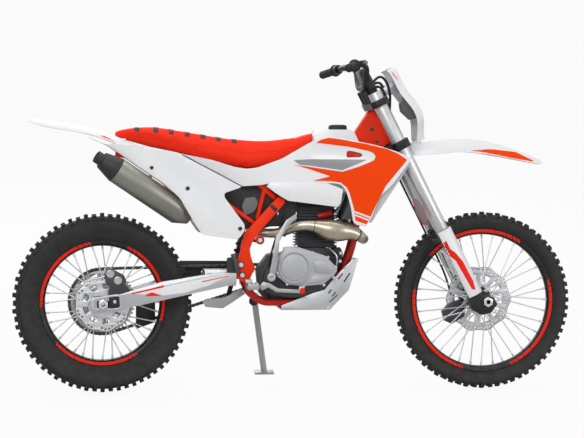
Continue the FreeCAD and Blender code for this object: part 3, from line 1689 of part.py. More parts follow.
def swingarm():
    """Two tapering arms, the bridge between them ahead of the tyre, and the pivot barrel."""
    arm = plate("Arm", share_outline("arm", ARM_SHARES), "arm_inner", "arm_wall")
    bridge = box(
        "Bridge", "arm_x + arm_length - arm_bridge_x", "2 * arm_inner", "arm_bridge_height",
        "arm_bridge_x", "-arm_inner", "arm_bridge_z",
    )
    neck = box(
        "Neck", "pivot_x - arm_bridge_x", "arm_barrel_length", "arm_barrel_radius * %s" % NECK_SHARE,
        "arm_bridge_x", "-arm_barrel_length / 2", "pivot_z - arm_barrel_radius * %s / 2" % NECK_SHARE,
    )
    barrel = cylinder(
        "Barrel", "arm_barrel_radius", "arm_barrel_length",
        crosswise("pivot_x", "-arm_barrel_length / 2", "pivot_z"),
    )
    whole = fuse("ArmWhole", [arm, mirrored(arm), bridge, neck, barrel])
    pivot = cylinder(
        "PivotBore", "pivot_radius + seat_gap", "2 * arm_inner", crosswise("pivot_x", "-arm_inner", "pivot_z")
    )
    slot = box(
        "AxleSlot", "slot_length", "rear_axle_length", "2 * rear_axle_radius + 2 * seat_gap",
        "-slot_length / 2", "-rear_axle_length / 2", "tyre_radius - rear_axle_radius - seat_gap",
    )
    window = box(
        "ShockWindow", "window_length", "window_width", "2 * arm_bridge_height",
        "pivot_x - arm_barrel_radius - window_length", "shock_side - window_width / 2",
        "arm_bridge_z - arm_bridge_height / 2",
    )
    tools = fuse("ArmTools", [pivot, slot, window])
    return node(cut("Swingarm", whole, tools), "swingarm")


SHOCK_BODY_SHARE = 0.5
SHOCK_ROD_SHARE = 0.45
SHOCK_NECK_SHARE = 1.7
SPRING_START_SHARE = 0.3


def rear_shock():
    """The shock absorber: body, rod and eyes, with the spring as a separate coil round it."""
    side = size("shock_side")
    top = Vector(size("shock_top_x"), side, size("shock_top_z"))
    low = Vector(size("shock_low_x"), side, size("shock_low_z"))
    down = (low - top).normalize()
    length = (low - top).Length
    radius = size("shock_radius")
    half = size("shock_eye_width") / 2
    neck = size("shock_eye_radius") * SHOCK_NECK_SHARE
    body = Part.makeCylinder(radius, length * SHOCK_BODY_SHARE - neck, top + down * neck, down)
    shaft = Part.makeCylinder(radius * SHOCK_ROD_SHARE, length - neck, top + down * (neck / 2), down)
    seat_top = top + down * ((length - size("spring_length")) * SPRING_START_SHARE)
    wall = size("spring_wire")
    collar = Part.makeCylinder(size("spring_radius"), wall, seat_top - down * wall, down)
    seat_low = seat_top + down * size("spring_length")
    plate_low = Part.makeCylinder(size("spring_radius"), size("spring_wire"), seat_low, down)
    eyes = [
        Part.makeCylinder(size("shock_eye_radius"), 2 * half, point - Vector(0, half, 0), Vector(0, 1, 0))
        for point in (top, low)
    ]
    holes = [
        Part.makeCylinder(
            size("shock_bolt_radius + seat_gap"), 4 * half, point - Vector(0, 2 * half, 0), Vector(0, 1, 0)
        )
        for point in (top, low)
    ]
    whole = body.multiFuse([shaft, collar, plate_low] + eyes)
    whole = whole.cut(Part.makeCompound(holes)).removeSplitter()
    wire = size("spring_wire")
    turns = int(size("spring_turns"))
    free = size("spring_length") - 2 * wire - 2 * size("seat_gap")
    helix = Part.makeHelix(free / turns, free, size("spring_radius") - wire)
    start = Vector(size("spring_radius") - wire, 0, 0)
    section = Part.Wire(Part.makeCircle(wire, start, Vector(0, 1, 0)))
    coil = Part.Wire(helix).makePipeShell([section], True, True)
    coil.Placement = Placement(seat_top + down * (wire + size("seat_gap")), Rotation(Vector(0, 0, 1), down))
    return node(feature("rear_shock", Part.makeCompound([whole, coil])), "rear_shock")


ROCKER_SHARES = [
    (0.0, 0.3), (0.06, 0.08), (0.45, 0.0), (0.58, 0.16), (0.98, 0.72), (0.9, 0.96), (0.45, 0.5), (0.08, 0.44),
]
BOLT_SHARES = [(0.08, 0.26), (0.38, 0.24), (0.9, 0.82)]


def shock_linkage():
    """The two plates of the linkage under the swingarm, joined by their bolts."""
    link = plate("Link", share_outline("rocker", ROCKER_SHARES), "rocker_inner", "rocker_wall")
    bolts = []
    places = [
        ("rocker_x + rocker_length * %s" % along, "rocker_z + rocker_height * %s" % up)
        for along, up in BOLT_SHARES
    ]
    places.append(("shock_low_x", "shock_low_z"))
    for index, (across, up) in enumerate(places):
        place = crosswise(across, "-rocker_inner - rocker_wall", up)
        reach = "2 * (rocker_inner + rocker_wall)"
        bolts.append(cylinder("LinkBolt%d" % index, "shock_bolt_radius", reach, place))
    whole = fuse("ShockLinkage", [link, mirrored(link)] + bolts)
    whole.Placement = Placement(Vector(0, size("shock_side"), 0), Rotation())
    return node(whole, "shock_linkage")


GUARD_SHARES = [
    (0.0, 0.0), (0.0, 0.88), (0.06, 1.0), (0.94, 0.97), (0.82, 0.4), (0.385, 0.4), (0.385, 0.0),
]
GUIDE_SHARES = [(0.0, 0.0), (1.0, 0.22), (1.0, 1.0), (0.3, 0.98), (0.0, 0.85)]
GUIDE_SLOT_SHARES = [(-0.1, 0.048), (1.1, 0.29), (1.1, 0.442), (-0.1, 0.2)]


def chain_guides():
    """The slider beside the chain's top run and the guide fork round its bottom run."""
    slider = plate("ChainSlider", share_outline("guard", GUARD_SHARES), "-arm_inner + seat_gap", "guard_wall")
    fork = plate("ChainGuide", share_outline("guide", GUIDE_SHARES), "-arm_inner + seat_gap", "guide_width")
    pocket(
        fork, share_outline("guide", GUIDE_SLOT_SHARES),
        "-chain_side + chain_inner_width", "2 * chain_inner_width",
    )
    return node(compound("ChainGuides", [slider, fork]), "chain_guides")


# Feet: pegs, pedal, kick lever and shifter

PEG_SHARES = [(0.0, 0.0), (1.0, 0.0), (1.0, 1.0), (0.0, 1.0)]
PEG_BRACKET_SHARES = [(-0.1, 1.6), (0.1, 0.2), (0.7, 0.2), (0.55, 1.6)]


def footpegs():
    """A peg on each side with the bracket that bolts to the spar."""
    tread = plate("PegTread", share_outline("peg", PEG_SHARES), "peg_side", "peg_reach")
    bracket = plate(
        "PegBracket", share_outline("peg", PEG_BRACKET_SHARES), "spar_inner + spar_wall + seat_gap",
        "peg_side - spar_inner - spar_wall + 2 * seat_gap",
    )
    run = tube(route("cradle", "cradle_spread", CRADLE_SHARES), size("cradle_radius + seat_gap"))
    peg = cut("PegCut", fuse("Peg", [tread, bracket]), feature("PegRail", flipped(run)))
    return node(pair("Pegs", peg), "footpegs")


PEDAL_SHARES = [
    (0.0, 0.55), (0.06, 0.25), (0.2, 0.5), (0.38, 0.1), (0.9, 0.0), (1.0, 0.3), (0.98, 0.62), (0.9, 0.55),
    (0.88, 0.28), (0.42, 0.4), (0.22, 0.86), (0.08, 0.95),
]
SHIFTER_SHARES = [
    (0.0, 0.4), (0.05, 0.1), (0.2, 0.05), (0.85, 0.55), (1.0, 0.6), (1.0, 0.95), (0.82, 0.95),
    (0.2, 0.5), (0.08, 0.75),
]
KICK_SHARES = [
    (0.0, 0.02), (0.1, 0.0), (0.2, 0.06), (0.3, 0.3), (0.36, 0.58), (0.66, 0.82), (0.97, 0.93), (0.94, 1.0),
    (0.6, 0.9), (0.24, 0.66), (0.14, 0.36), (0.02, 0.1),
]


# Each lever's pin: its radius as a share of the lever's wall, and its place as shares of the wall and height

PEDAL_PIN_SHARES = (0.7, 2.2, 0.63)
KICK_PIN_SHARES = (0.7, 0.8)
SHIFTER_PIN_SHARES = (0.6, 3.2, 0.31)


def foot_levers():
    """The brake pedal and kick lever on the right and the shifter on the left, apart from each other."""
    pedal = plate("Pedal", share_outline("pedal", PEDAL_SHARES), "pedal_side", "pedal_wall")
    thick, along, up = PEDAL_PIN_SHARES
    pedal_pin = cylinder(
        "PedalPin", "pedal_wall * %s" % thick, "pedal_side - case_half - case_flank - seat_gap",
        crosswise("pedal_x + pedal_wall * %s" % along, "-pedal_side", "pedal_z + pedal_height * %s" % up),
    )
    kick = plate("Kick", share_outline("kick", KICK_SHARES), "kick_side", "kick_wall")
    thick, along = KICK_PIN_SHARES
    kick_pin = cylinder(
        "KickPin", "kick_wall * %s" % thick, "kick_side - case_half - case_flank - seat_gap",
        crosswise("kick_x + kick_wall * %s" % along, "-kick_side", "kick_z + kick_wall"),
    )
    shifter = plate("Shifter", share_outline("shifter", SHIFTER_SHARES), "-pedal_side", "pedal_wall")
    thick, along, up = SHIFTER_PIN_SHARES
    shifter_pin = cylinder(
        "ShifterPin", "pedal_wall * %s" % thick, "pedal_side - pedal_wall - case_half - case_flank - seat_gap",
        crosswise(
            "shifter_x + pedal_wall * %s" % along, "case_half + case_flank + seat_gap",
            "shifter_z + shifter_height * %s" % up,
        ),
    )
    parts = [
        fuse("PedalWhole", [pedal, pedal_pin]),
        fuse("KickWhole", [kick, kick_pin]),
        fuse("ShifterWhole", [shifter, shifter_pin]),
    ]
    return node(compound("FootLevers", parts), "foot_levers")


# Rear brake

CALIPER_SHARES = [(0.0, 0.55), (0.1, 0.1), (0.75, 0.0), (1.0, 0.3), (0.9, 0.62), (0.3, 1.0), (0.1, 0.95)]
CALIPER_TAB_SHARES = [(0.2, 0.5), (0.2, -0.46), (1.1, -0.4), (1.15, -0.1), (0.7, 0.5)]


def rear_brake():
    """The caliper over the disc's rim with its bracket to the arm, and the master cylinder."""
    caliper = plate(
        "RearCaliper", share_outline("rear_caliper", CALIPER_SHARES),
        "arm_inner - seat_gap - caliper_width", "caliper_width",
    )
    slot = cylinder(
        "RearCaliperSlot", "rear_disc_radius + caliper_slot / 2", "caliper_slot",
        crosswise("0 * caliper_slot", "-rear_disc_side - caliper_slot / 2", "tyre_radius"),
    )
    tab = plate(
        "RearCaliperTab", share_outline("rear_caliper", CALIPER_TAB_SHARES),
        "arm_inner - seat_gap - caliper_tab_wall", "caliper_tab_wall",
    )
    block = fuse("RearCaliperWhole", [cut("RearCaliperCut", caliper, slot), tab])
    side = size("spar_inner + spar_wall + seat_gap + master_radius")
    top = Vector(size("master_x"), -side, size("master_z + master_length"))
    low = top + Vector(size("master_length / 4"), 0, -size("master_length"))
    master = feature("RearMaster", rod(low, top, size("master_radius")))
    return node(compound("RearBrake", [block, master]), "rear_brake")


# Side stand: pivot on the left, foot flat on the ground when the machine leans

GROUND = LEAN.inverse()


def stand_points():
    """The pivot and the foot's middle in the upright frame, and the folded leg's direction."""
    pivot = Vector(size("stand_x"), size("stand_side"), size("stand_z"))
    foot = GROUND.multVec(
        Vector(size("stand_foot_x"), size("stand_foot_reach"), size("foot_thickness"))
    )
    return pivot, foot


def side_stand():
    """The stand's leg with its forked head and the flat foot."""
    pivot, foot = stand_points()
    axis = STAND_AXIS
    width = size("stand_fork_width")
    leg = rod(pivot, foot, size("stand_radius"))
    head = Part.makeCylinder(size("stand_pivot_radius * 2"), width, pivot - axis * (width / 2), axis)
    bore = Part.makeCylinder(
        size("stand_pivot_radius + running_gap"), 2 * width, pivot - axis * width, axis
    )
    length = size("foot_length")
    breadth = size("foot_width")
    thick = size("foot_thickness")
    sole = Part.makeBox(length, breadth, thick, Vector(-length / 2, -breadth / 2, -thick))
    sole.Placement = Placement(foot, GROUND.Rotation)
    under = Part.makeBox(4 * length, 4 * length, length, Vector(-2 * length, -2 * length, -thick - length))
    under.Placement = Placement(foot, GROUND.Rotation)
    whole = leg.multiFuse([head, sole]).cut(bore).cut(under).removeSplitter()
    return node(feature("side_stand", whole), "side_stand")


FOLDED_SHARE = Vector(-0.97, 0.06, 0.24)


def stand_axis():
    """The pivot's direction: it swings the leg from the ground to its folded place."""
    pivot, foot = stand_points()
    return (foot - pivot).normalize().cross(FOLDED_SHARE).normalize()


STAND_AXIS = stand_axis()


# The bracket's pin length, lug place and lug thickness as shares of the stand's forked head

PIN_LENGTH_SHARE = 1.6
LUG_PLACE_SHARE = 0.65
LUG_WALL_SHARE = 0.14


def stand_bracket():
    """The pin that carries the stand, with its lug on the left cradle rail."""
    pivot = stand_points()[0]
    width = size("stand_fork_width")
    run = width * PIN_LENGTH_SHARE
    pin = Part.makeCylinder(size("stand_pivot_radius"), run, pivot - STAND_AXIS * (run / 2), STAND_AXIS)
    wall = width * LUG_WALL_SHARE
    inner = pivot - STAND_AXIS * (width * LUG_PLACE_SHARE + wall)
    lug = Part.makeCylinder(size("stand_pivot_radius * 2"), wall, inner, STAND_AXIS)
    reach = Vector(size("stand_x"), size("cradle_spread + cradle_radius + seat_gap"), size("cradle_z"))
    strut = rod(inner, reach, size("stand_pivot_radius"))
    keep = Part.makeBox(
        4 * width, 4 * width, 8 * width,
        Vector(size("stand_x") - 2 * width, reach.y, size("cradle_z") - 4 * width),
    )
    strut = strut.common(keep)
    whole = pin.multiFuse([lug, strut]).removeSplitter()
    rail = tube(route("cradle", "cradle_spread", CRADLE_SHARES), size("cradle_radius + seat_gap"))
    return node(feature("stand_bracket", whole.cut(rail).removeSplitter()), "stand_bracket")


# Fork group, in the fork's own frame: z up along the steering axis, x forward

CLAMP_SHARES = [
    (0.95, 0.9), (0.95, 0.6), (0.3, 0.36), (0.3, -0.36), (0.95, -0.6), (0.95, -0.9), (0.5, -1.0), (-0.5, -1.0),
    (-0.95, -0.86), (-0.95, -0.56), (-1.25, -0.2), (-1.25, 0.2), (-0.95, 0.56), (-0.95, 0.86), (-0.5, 1.0),
    (0.5, 1.0),
]


def clamp(name, low, height):
    """One triple clamp: a plate that holds both legs and the stem."""
    body = new_body(name)
    outline = [
        ("fork_offset + clamp_reach * %s" % ahead, "(leg_spacing / 2 + clamp_reach) * %s" % left, None)
        for ahead, left in CLAMP_SHARES
    ]
    pad(body, outline, low, height, "XY_Plane")
    return body


def upright(x, y, z):
    return Placement(Vector(size(x), size(y), size(z)), Rotation())


RISER_BACK_SHARE = 0.2


def triple_clamps():
    """Both clamps, the stem between them, and the two bar risers on the upper one."""
    parts = [
        clamp("LowClamp", "clamp_low", "clamp_low_height"),
        clamp("HighClamp", "clamp_high", "clamp_high_height"),
        cylinder(
            "Stem", "stem_radius", "clamp_high - clamp_low",
            upright("0 * clamp_low", "0 * clamp_low", "clamp_low"),
        ),
    ]
    for index, side in enumerate((1, -1)):
        parts.append(cylinder(
            "Riser%d" % index, "riser_radius", "bar_height - clamp_high - bar_radius - seat_gap",
            upright("-fork_offset * %s" % RISER_BACK_SHARE, "%d * 2 * fork_offset" % side, "clamp_high"),
        ))
    holes = []
    for index, side in enumerate((1, -1)):
        holes.append(cylinder(
            "LegHole%d" % index, "fork_tube_radius + seat_gap", "fork_tube_high",
            upright("fork_offset", "%d * leg_spacing / 2" % side, "clamp_low - clamp_low_height"),
        ))
    whole = cut("TripleClamps", fuse("ClampsWhole", parts), fuse("LegHoles", holes))
    return node(whole, "triple_clamps", FORK)


def fork_tubes():
    item = cylinder(
        "ForkTube", "fork_tube_radius", "fork_tube_high - fork_tube_low",
        upright("fork_offset", "-leg_spacing / 2", "fork_tube_low"),
    )
    return node(pair("ForkTubes", item), "fork_tubes", FORK)


def fork_sliders():
    item = cylinder(
        "Slider", "slider_radius", "fork_tube_low - slider_low - seat_gap",
        upright("fork_offset", "-leg_spacing / 2", "slider_low"),
    )
    return node(pair("Sliders", item), "fork_sliders", FORK)


GUARD_ARC_STEPS = 6
GUARD_START_ANGLE = -35
GUARD_END_ANGLE = 130


def fork_guards():
    """A plastic guard round the front and outside of each slider."""
    radius = size("leg_guard_radius")
    inner = radius - size("leg_guard_wall")
    centre = Vector(size("fork_offset"), -size("leg_spacing / 2"), size("leg_guard_low"))
    angles = [
        math.radians(-(GUARD_START_ANGLE + (GUARD_END_ANGLE - GUARD_START_ANGLE) * step / GUARD_ARC_STEPS))
        for step in range(GUARD_ARC_STEPS + 1)
    ]
    outside = [centre + Vector(math.cos(a), math.sin(a), 0) * radius for a in angles]
    inside = [centre + Vector(math.cos(a), math.sin(a), 0) * inner for a in reversed(angles)]
    face = quad(outside + inside)
    guard = face.extrude(Vector(0, 0, size("leg_guard_high - leg_guard_low")))
    return node(feature("fork_guards", Part.makeCompound([guard, flipped(guard)])), "fork_guards", FORK)


FOOT_BLOCK_SHARES = [
    (-0.06, 0.5), (0.0, 1.0), (0.56, 1.0), (0.66, 0.7), (1.0, 0.55), (1.0, 0.2), (0.6, 0.0), (0.2, 0.1),
]
FOOT_BLOCK_BACK_SHARE = 1.2


def axle_clamps():
    """The block at the foot of each leg that clamps the front axle."""
    outline = [
        (
            "fork_offset - slider_radius * %s + foot_block_reach * %s" % (FOOT_BLOCK_BACK_SHARE, ahead),
            "foot_block_low + (foot_block_high - foot_block_low) * %s" % up,
            None,
        )
        for ahead, up in FOOT_BLOCK_SHARES
    ]
    block = plate("FootBlock", outline, "(leg_spacing - foot_block_width) / 2", "foot_block_width")
    hole = cylinder(
        "FootBore", "front_axle_radius + seat_gap", "leg_spacing",
        crosswise("fork_offset + axle_lead", "-leg_spacing", "0 * leg_spacing"),
    )
    return node(pair("AxleClamps", cut("FootBlockCut", block, hole)), "axle_clamps", FORK)


# Front fender: station, height, half width and crown, as shares

FRONT_FENDER_SHARES = [
    (0.0, 0.3, 0.36, 0.5),
    (0.2, 0.36, 0.5, 0.55),
    (0.45, 0.42, 0.5, 0.56),
    (0.65, 0.28, 0.46, 0.5),
    (0.85, 0.06, 0.38, 0.36),
    (1.0, -0.1, 0.24, 0.16),
]


def front_fender():
    """The high fender: an arched sheet from the lower clamp out over the wheel."""
    sections = []
    for along, up, half, crown in FRONT_FENDER_SHARES:
        outline = arched(
            "front_fender_width", half, "front_fender_z + front_fender_rise * %s" % up,
            "front_fender_rise * %s" % crown, "fender_wall",
        )
        sections.append(("front_fender_x + front_fender_length * %s" % along, outline))
    foot = box(
        "FenderFoot", "fender_foot_reach", "fender_foot_width", "clamp_low - seat_gap - fender_foot_low",
        "0 * fender_foot_low", "-fender_foot_width / 2", "fender_foot_low",
    )
    foot.Placement = FORK.multiply(foot.Placement)
    return node(fuse("FrontFender", [lofted("FenderSheet", sections), foot]), "front_fender")


# Number mask: height, forward reach, half width, as shares

MASK_SHARES = [
    (0.0, 0.79, 0.3),
    (0.2, 0.935, 0.42),
    (0.39, 1.0, 0.47),
    (0.54, 0.945, 0.5),
    (0.81, 0.89, 0.48),
    (1.0, 0.855, 0.4),
]
MASK_FLAT_SHARE = 0.4


def mask_sheet(name):
    """The mask's sheet, lofted up through its sections."""
    body = new_body(name)
    sketches = []
    for up, ahead, half in MASK_SHARES:
        front = "mask_reach * %s" % ahead
        side = "mask_width * %s" % half
        outline = [
            (front, "%s * %s" % (side, MASK_FLAT_SHARE), None),
            ("%s - mask_wrap" % front, side, None),
            ("%s - mask_wrap - mask_wall" % front, side, None),
            ("%s - mask_wall" % front, "%s * %s" % (side, MASK_FLAT_SHARE), None),
            ("%s - mask_wall" % front, "-%s * %s" % (side, MASK_FLAT_SHARE), None),
            ("%s - mask_wrap - mask_wall" % front, "-" + side, None),
            ("%s - mask_wrap" % front, "-" + side, None),
            (front, "-%s * %s" % (side, MASK_FLAT_SHARE), None),
        ]
        sketch = new_sketch(body, "XY_Plane", "mask_low + mask_height * %s" % up)
        draw_outline(sketch, outline)
        sketches.append(sketch)
    loft = body.newObject("PartDesign::AdditiveLoft", name + "Loft")
    loft.Profile = sketches[0]
    loft.Sections = sketches[1:]
    return body


def number_mask():
    """The bare front mask, bent back at its sides."""
    return node(mask_sheet("Mask"), "number_mask", FORK)


BRACKET_SHARES = [
    (0.0, 0.0), (0.26, 0.0), (0.7, -0.5), (0.985, -0.5), (0.95, 0.67), (0.5, 0.85), (0.0, 0.3),
]
BRACKET_CROSS_SHARE = 0.6
HOUSING_SHARES = [(0.15, 0.8), (0.0, 0.5), (0.25, 0.05), (0.7, 0.0), (0.996, 0.31), (0.84, 0.78), (0.6, 1.0)]


def mask_bracket():
    """Two stays on the upper clamp that carry the mask, each a thin plate."""
    stay = plate("MaskStay", share_outline("bracket", BRACKET_SHARES), "bracket_side", "bracket_wall")
    cross = box(
        "StayCross", "bracket_wall", "2 * bracket_side", "bracket_height / 2",
        "bracket_x + bracket_length * %s" % BRACKET_CROSS_SHARE, "-bracket_side", "bracket_z",
    )
    bed = mask_sheet("MaskBed")
    bed.Placement = Placement(Vector(-size("seat_gap"), 0, 0), Rotation())
    return node(cut("MaskBracket", fuse("MaskStays", [stay, mirrored(stay), cross]), bed), "mask_bracket", FORK)


def lamp_housing():
    """The closed housing behind the mask's lower half."""
    outline = share_outline("housing", HOUSING_SHARES)
    return node(plate("LampHousing", outline, "-housing_width / 2", "housing_width"), "lamp_housing", FORK)


BAR_SHARES = [
    (0.0, 0.0, 0.0), (0.0, 0.25, 0.0), (0.09, 0.38, 0.72), (0.0, 0.53, 0.93), (-0.16, 1.0, 1.0),
]


def bar_route(sign):
    """The handlebar's line from the middle out to one end."""
    half = size("bar_half_width")
    rise = size("bar_rise")
    return [
        Vector(half * ahead, sign * half * left, size("bar_height") + rise * up)
        for ahead, left, up in BAR_SHARES
    ]


def handlebar():
    """The bar, bent up and swept back."""
    points = bar_route(1)[:0:-1] + bar_route(-1)[1:]
    return node(feature("handlebar", tube(points, size("bar_radius"))), "handlebar", FORK)


def along_bar(sign, start, length, radius, wall):
    """A sleeve on the straight outer run of the bar, measured in from its end."""
    outer = bar_route(sign)[-1]
    inward = (bar_route(sign)[-2] - outer).normalize()
    begin = outer + inward * start
    sleeve = Part.makeCylinder(radius, length, begin, inward)
    if wall:
        sleeve = sleeve.cut(Part.makeCylinder(size("bar_radius + seat_gap"), length, begin, inward))
    return sleeve


GRIP_FLANGE_SHARE = 1.5


def grips():
    """A grip on each end of the bar, closed at its outer end."""
    parts = []
    for sign in (1, -1):
        wide = size("grip_radius") * GRIP_FLANGE_SHARE
        flange = along_bar(sign, size("grip_length"), size("bar_radius / 2"), wide, True)
        sleeve = along_bar(sign, 0, size("grip_length"), size("grip_radius"), True)
        parts.append(sleeve.fuse(flange).removeSplitter())
    return node(feature("grips", Part.makeCompound(parts)), "grips", FORK)


# Each control's sizes as shares of the grip's and bar's radius and of the lever's length

PERCH_SHARE = 1.2
LEVER_DIP_SHARE = -0.2
LEVER_BEND_SHARE = 0.45
LEVER_REACH_SHARES = (1.2, 1.6)
LEVER_THICK_SHARE = 0.55
RESERVOIR_SHARE = 0.9


def bar_controls():
    """A perch with its lever on each side, and the throttle drum on the right."""
    parts = []
    for sign in (1, -1):
        outer = bar_route(sign)[-1]
        inward = (bar_route(sign)[-2] - outer).normalize()
        start = size("grip_length + bar_radius")
        perch = along_bar(sign, start, size("bar_radius * 2"), size("grip_radius") * PERCH_SHARE, True)
        middle = outer + inward * (start + size("bar_radius"))
        ahead = Vector(1, 0, LEVER_DIP_SHARE).normalize()
        lever = size("lever_length")
        knuckle, tip = [size("grip_radius") * share for share in LEVER_REACH_SHARES]
        pivot = middle + ahead * size("grip_radius * 2")
        points = [
            middle + ahead * size("grip_radius"),
            pivot + ahead * size("bar_radius"),
            pivot - inward * (lever * LEVER_BEND_SHARE) + ahead * knuckle,
            pivot - inward * lever + ahead * tip,
        ]
        arm = tube(points, size("bar_radius") * LEVER_THICK_SHARE)
        thick = size("bar_radius * 2")
        seat_at = middle + ahead * (size("grip_radius") + thick / 2)
        tank = bar(seat_at - inward * (thick / 2), seat_at + inward * (thick * RESERVOIR_SHARE), thick)
        parts.append(perch.multiFuse([arm, tank]).removeSplitter())
    return node(feature("bar_controls", Part.makeCompound(parts)), "bar_controls", FORK)


def bar_pad():
    """The soft pad in front of the bar's middle."""
    item = box(
        "BarPad", "bar_pad_depth", "bar_pad_width", "bar_pad_height",
        "bar_radius + seat_gap", "-bar_pad_width / 2", "bar_pad_low",
    )
    return node(item, "bar_pad", FORK)


FRONT_CALIPER_SHARES = [(0.0, 0.3), (0.2, 0.0), (0.8, 0.05), (1.0, 0.4), (0.94, 0.9), (0.5, 1.0), (0.08, 0.8)]


CALIPER_BACK_SHARE = 1.3


def front_brake():
    """The caliper behind the left leg and the hose up to the lever."""
    outline = [
        (
            "fork_offset - slider_radius * %s - front_caliper_length * (1 - %s)" % (CALIPER_BACK_SHARE, ahead),
            "-front_caliper_height / 2 + front_caliper_height * %s" % up,
            None,
        )
        for ahead, up in FRONT_CALIPER_SHARES
    ]
    block = plate("FrontCaliper", outline, "-(leg_spacing - foot_block_width) / 2 + seat_gap", "caliper_width")
    slot = cylinder(
        "FrontCaliperSlot", "front_disc_radius + caliper_slot / 2", "caliper_slot",
        crosswise("fork_offset + axle_lead", "front_disc_side - caliper_slot / 2", "0 * caliper_slot"),
    )
    return node(cut("FrontBrake", block, slot), "front_brake", FORK)


# The hose's points: back from the leg, out from the disc, and forward over the upper clamp, as shares

HOSE_START_SHARES = (0.33333, 2.2)
HOSE_LEG_SHARE = 2.4
HOSE_BOW_SHARE = 2.6
HOSE_END_SHARE = 0.2


def brake_hose():
    """The hose from the front caliper up behind the left leg to the bar."""
    side = size("leg_spacing / 2 + clamp_reach + hose_radius + seat_gap")
    back = size("fork_offset - fork_tube_radius")
    half = size("bar_half_width")
    share, out = HOSE_START_SHARES
    start_x = back - size("front_caliper_length") * share
    points = [
        Vector(
            start_x, size("front_disc_side + caliper_slot * %s" % out),
            size("front_caliper_height / 2 + seat_gap"),
        ),
        Vector(
            back - size("hose_radius * 3"), size("front_disc_side + caliper_slot * %s" % HOSE_LEG_SHARE),
            size("slider_low + leg_guard_low * 2"),
        ),
        Vector(back, side, size("fork_tube_low")),
        Vector(back, side, size("clamp_low - clamp_low_height")),
        Vector(back + size("clamp_reach") * HOSE_BOW_SHARE, side, size("clamp_high")),
        Vector(size("clamp_reach"), side + half * HOSE_END_SHARE, size("bar_height + bar_rise / 2")),
    ]
    return node(feature("brake_hose", tube(points, size("hose_radius"))), "brake_hose", FORK)


for make in (
    main_frame, lower_cradle, subframe, crankcase, clutch_cover, cylinder_barrel, cylinder_head,
    carburettor, airbox, fuel_tank, tank_cap, tank_shrouds, side_panels, seat, rear_fender, radiators,
    exhaust_header, muffler, muffler_cap, skid_plate, swingarm, chain, chain_guides, rear_shock,
    shock_linkage, footpegs, foot_levers, rear_brake, stand_bracket, side_stand, triple_clamps,
    fork_tubes, fork_sliders, fork_guards, axle_clamps, front_fender, number_mask, mask_bracket,
    lamp_housing, handlebar, bar_pad, grips, bar_controls, front_brake, brake_hose,
):
    make()
for prefix in ("front", "rear"):
    tyre(prefix)
    rim(prefix)
    spokes(prefix)
    brake_disc(prefix)
    axle(prefix)
hub("front", size("front_disc_side"), None)
hub("rear", -size("rear_disc_side"), size("chain_side"))
rear_sprocket()
doc.recompute()

for item in doc.Objects:
    if {"Invalid", "Error"} & set(item.State):
        raise RuntimeError("%s did not build: %s" % (item.Label, item.State))
for item, frame in nodes:
    if item.Shape.isNull() or not item.Shape.isValid():
        raise RuntimeError("%s has no valid shape" % item.Label)

# The finished machine leans on its stand, and its origin is the middle of its floor rectangle
for item, frame in nodes:
    item.Placement = LEAN.multiply(frame).multiply(item.Placement)
doc.recompute()
bounds = FreeCAD.BoundBox()
for item, frame in nodes:
    bounds.add(item.Shape.optimalBoundingBox(False))
CENTRE = Placement(Vector(-bounds.Center.x, -bounds.Center.y, -bounds.ZMin), Rotation())
for item, frame in nodes:
    item.Placement = CENTRE.multiply(item.Placement)
doc.recompute()

os.makedirs("parts", exist_ok=True)
for item, frame in nodes:
    item.Shape.exportStep("parts/%s.step" % item.Label)
    print(item.Label, len(item.Shape.Solids), round(item.Shape.Volume / 1000, 1))
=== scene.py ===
import json
import math
import bpy
from mathutils import Matrix, Vector


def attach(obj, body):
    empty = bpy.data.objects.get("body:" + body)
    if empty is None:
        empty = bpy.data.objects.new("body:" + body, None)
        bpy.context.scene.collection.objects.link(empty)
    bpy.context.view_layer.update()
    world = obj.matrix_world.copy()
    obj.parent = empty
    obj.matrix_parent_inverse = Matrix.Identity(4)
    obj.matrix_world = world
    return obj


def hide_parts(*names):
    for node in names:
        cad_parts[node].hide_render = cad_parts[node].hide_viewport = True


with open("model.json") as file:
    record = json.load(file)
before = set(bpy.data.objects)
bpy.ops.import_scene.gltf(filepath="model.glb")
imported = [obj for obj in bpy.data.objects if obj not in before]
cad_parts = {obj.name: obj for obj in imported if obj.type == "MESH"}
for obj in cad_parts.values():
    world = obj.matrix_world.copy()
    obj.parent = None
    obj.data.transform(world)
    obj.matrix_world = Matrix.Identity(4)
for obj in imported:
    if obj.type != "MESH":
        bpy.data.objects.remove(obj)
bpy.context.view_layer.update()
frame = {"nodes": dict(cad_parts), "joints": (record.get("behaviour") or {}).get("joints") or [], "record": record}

# Places. The CAD leans on its side stand; pieces are made upright in millimetres and then leaned over.

LEAN = math.radians(9.2)
RAKE = math.radians(26.5)
WHEEL_BASE = 1480
TYRE_RADIUS = 347.5
FORK_FOOT = (1429.9, 0, 322.5)
RIGHT = -1
LEFT = 1
FULL_TURN = 2 * math.pi
# STANDING stands a flat or spun shape up; STILL leaves a piece where it is
STANDING = Matrix.Rotation(math.pi / 2, 4, "X")
STILL = Matrix.Identity(4)


def joint_place(name):
    return Vector(next(joint for joint in frame["joints"] if joint["name"] == name)["pos_m"])


BIKE = (
    Matrix.Translation(joint_place("rear_wheel_spin"))
    @ Matrix.Rotation(-LEAN, 4, "X")
    @ Matrix.Scale(0.001, 4)
    @ Matrix.Translation((0, 0, -TYRE_RADIUS))
)
FORK = BIKE @ Matrix.Translation(FORK_FOOT) @ Matrix.Rotation(-RAKE, 4, "Y")
FRONT = ("Front", BIKE @ Matrix.Translation((WHEEL_BASE, 0, TYRE_RADIUS)))
REAR = ("Rear", BIKE @ Matrix.Translation((0, 0, TYRE_RADIUS)))


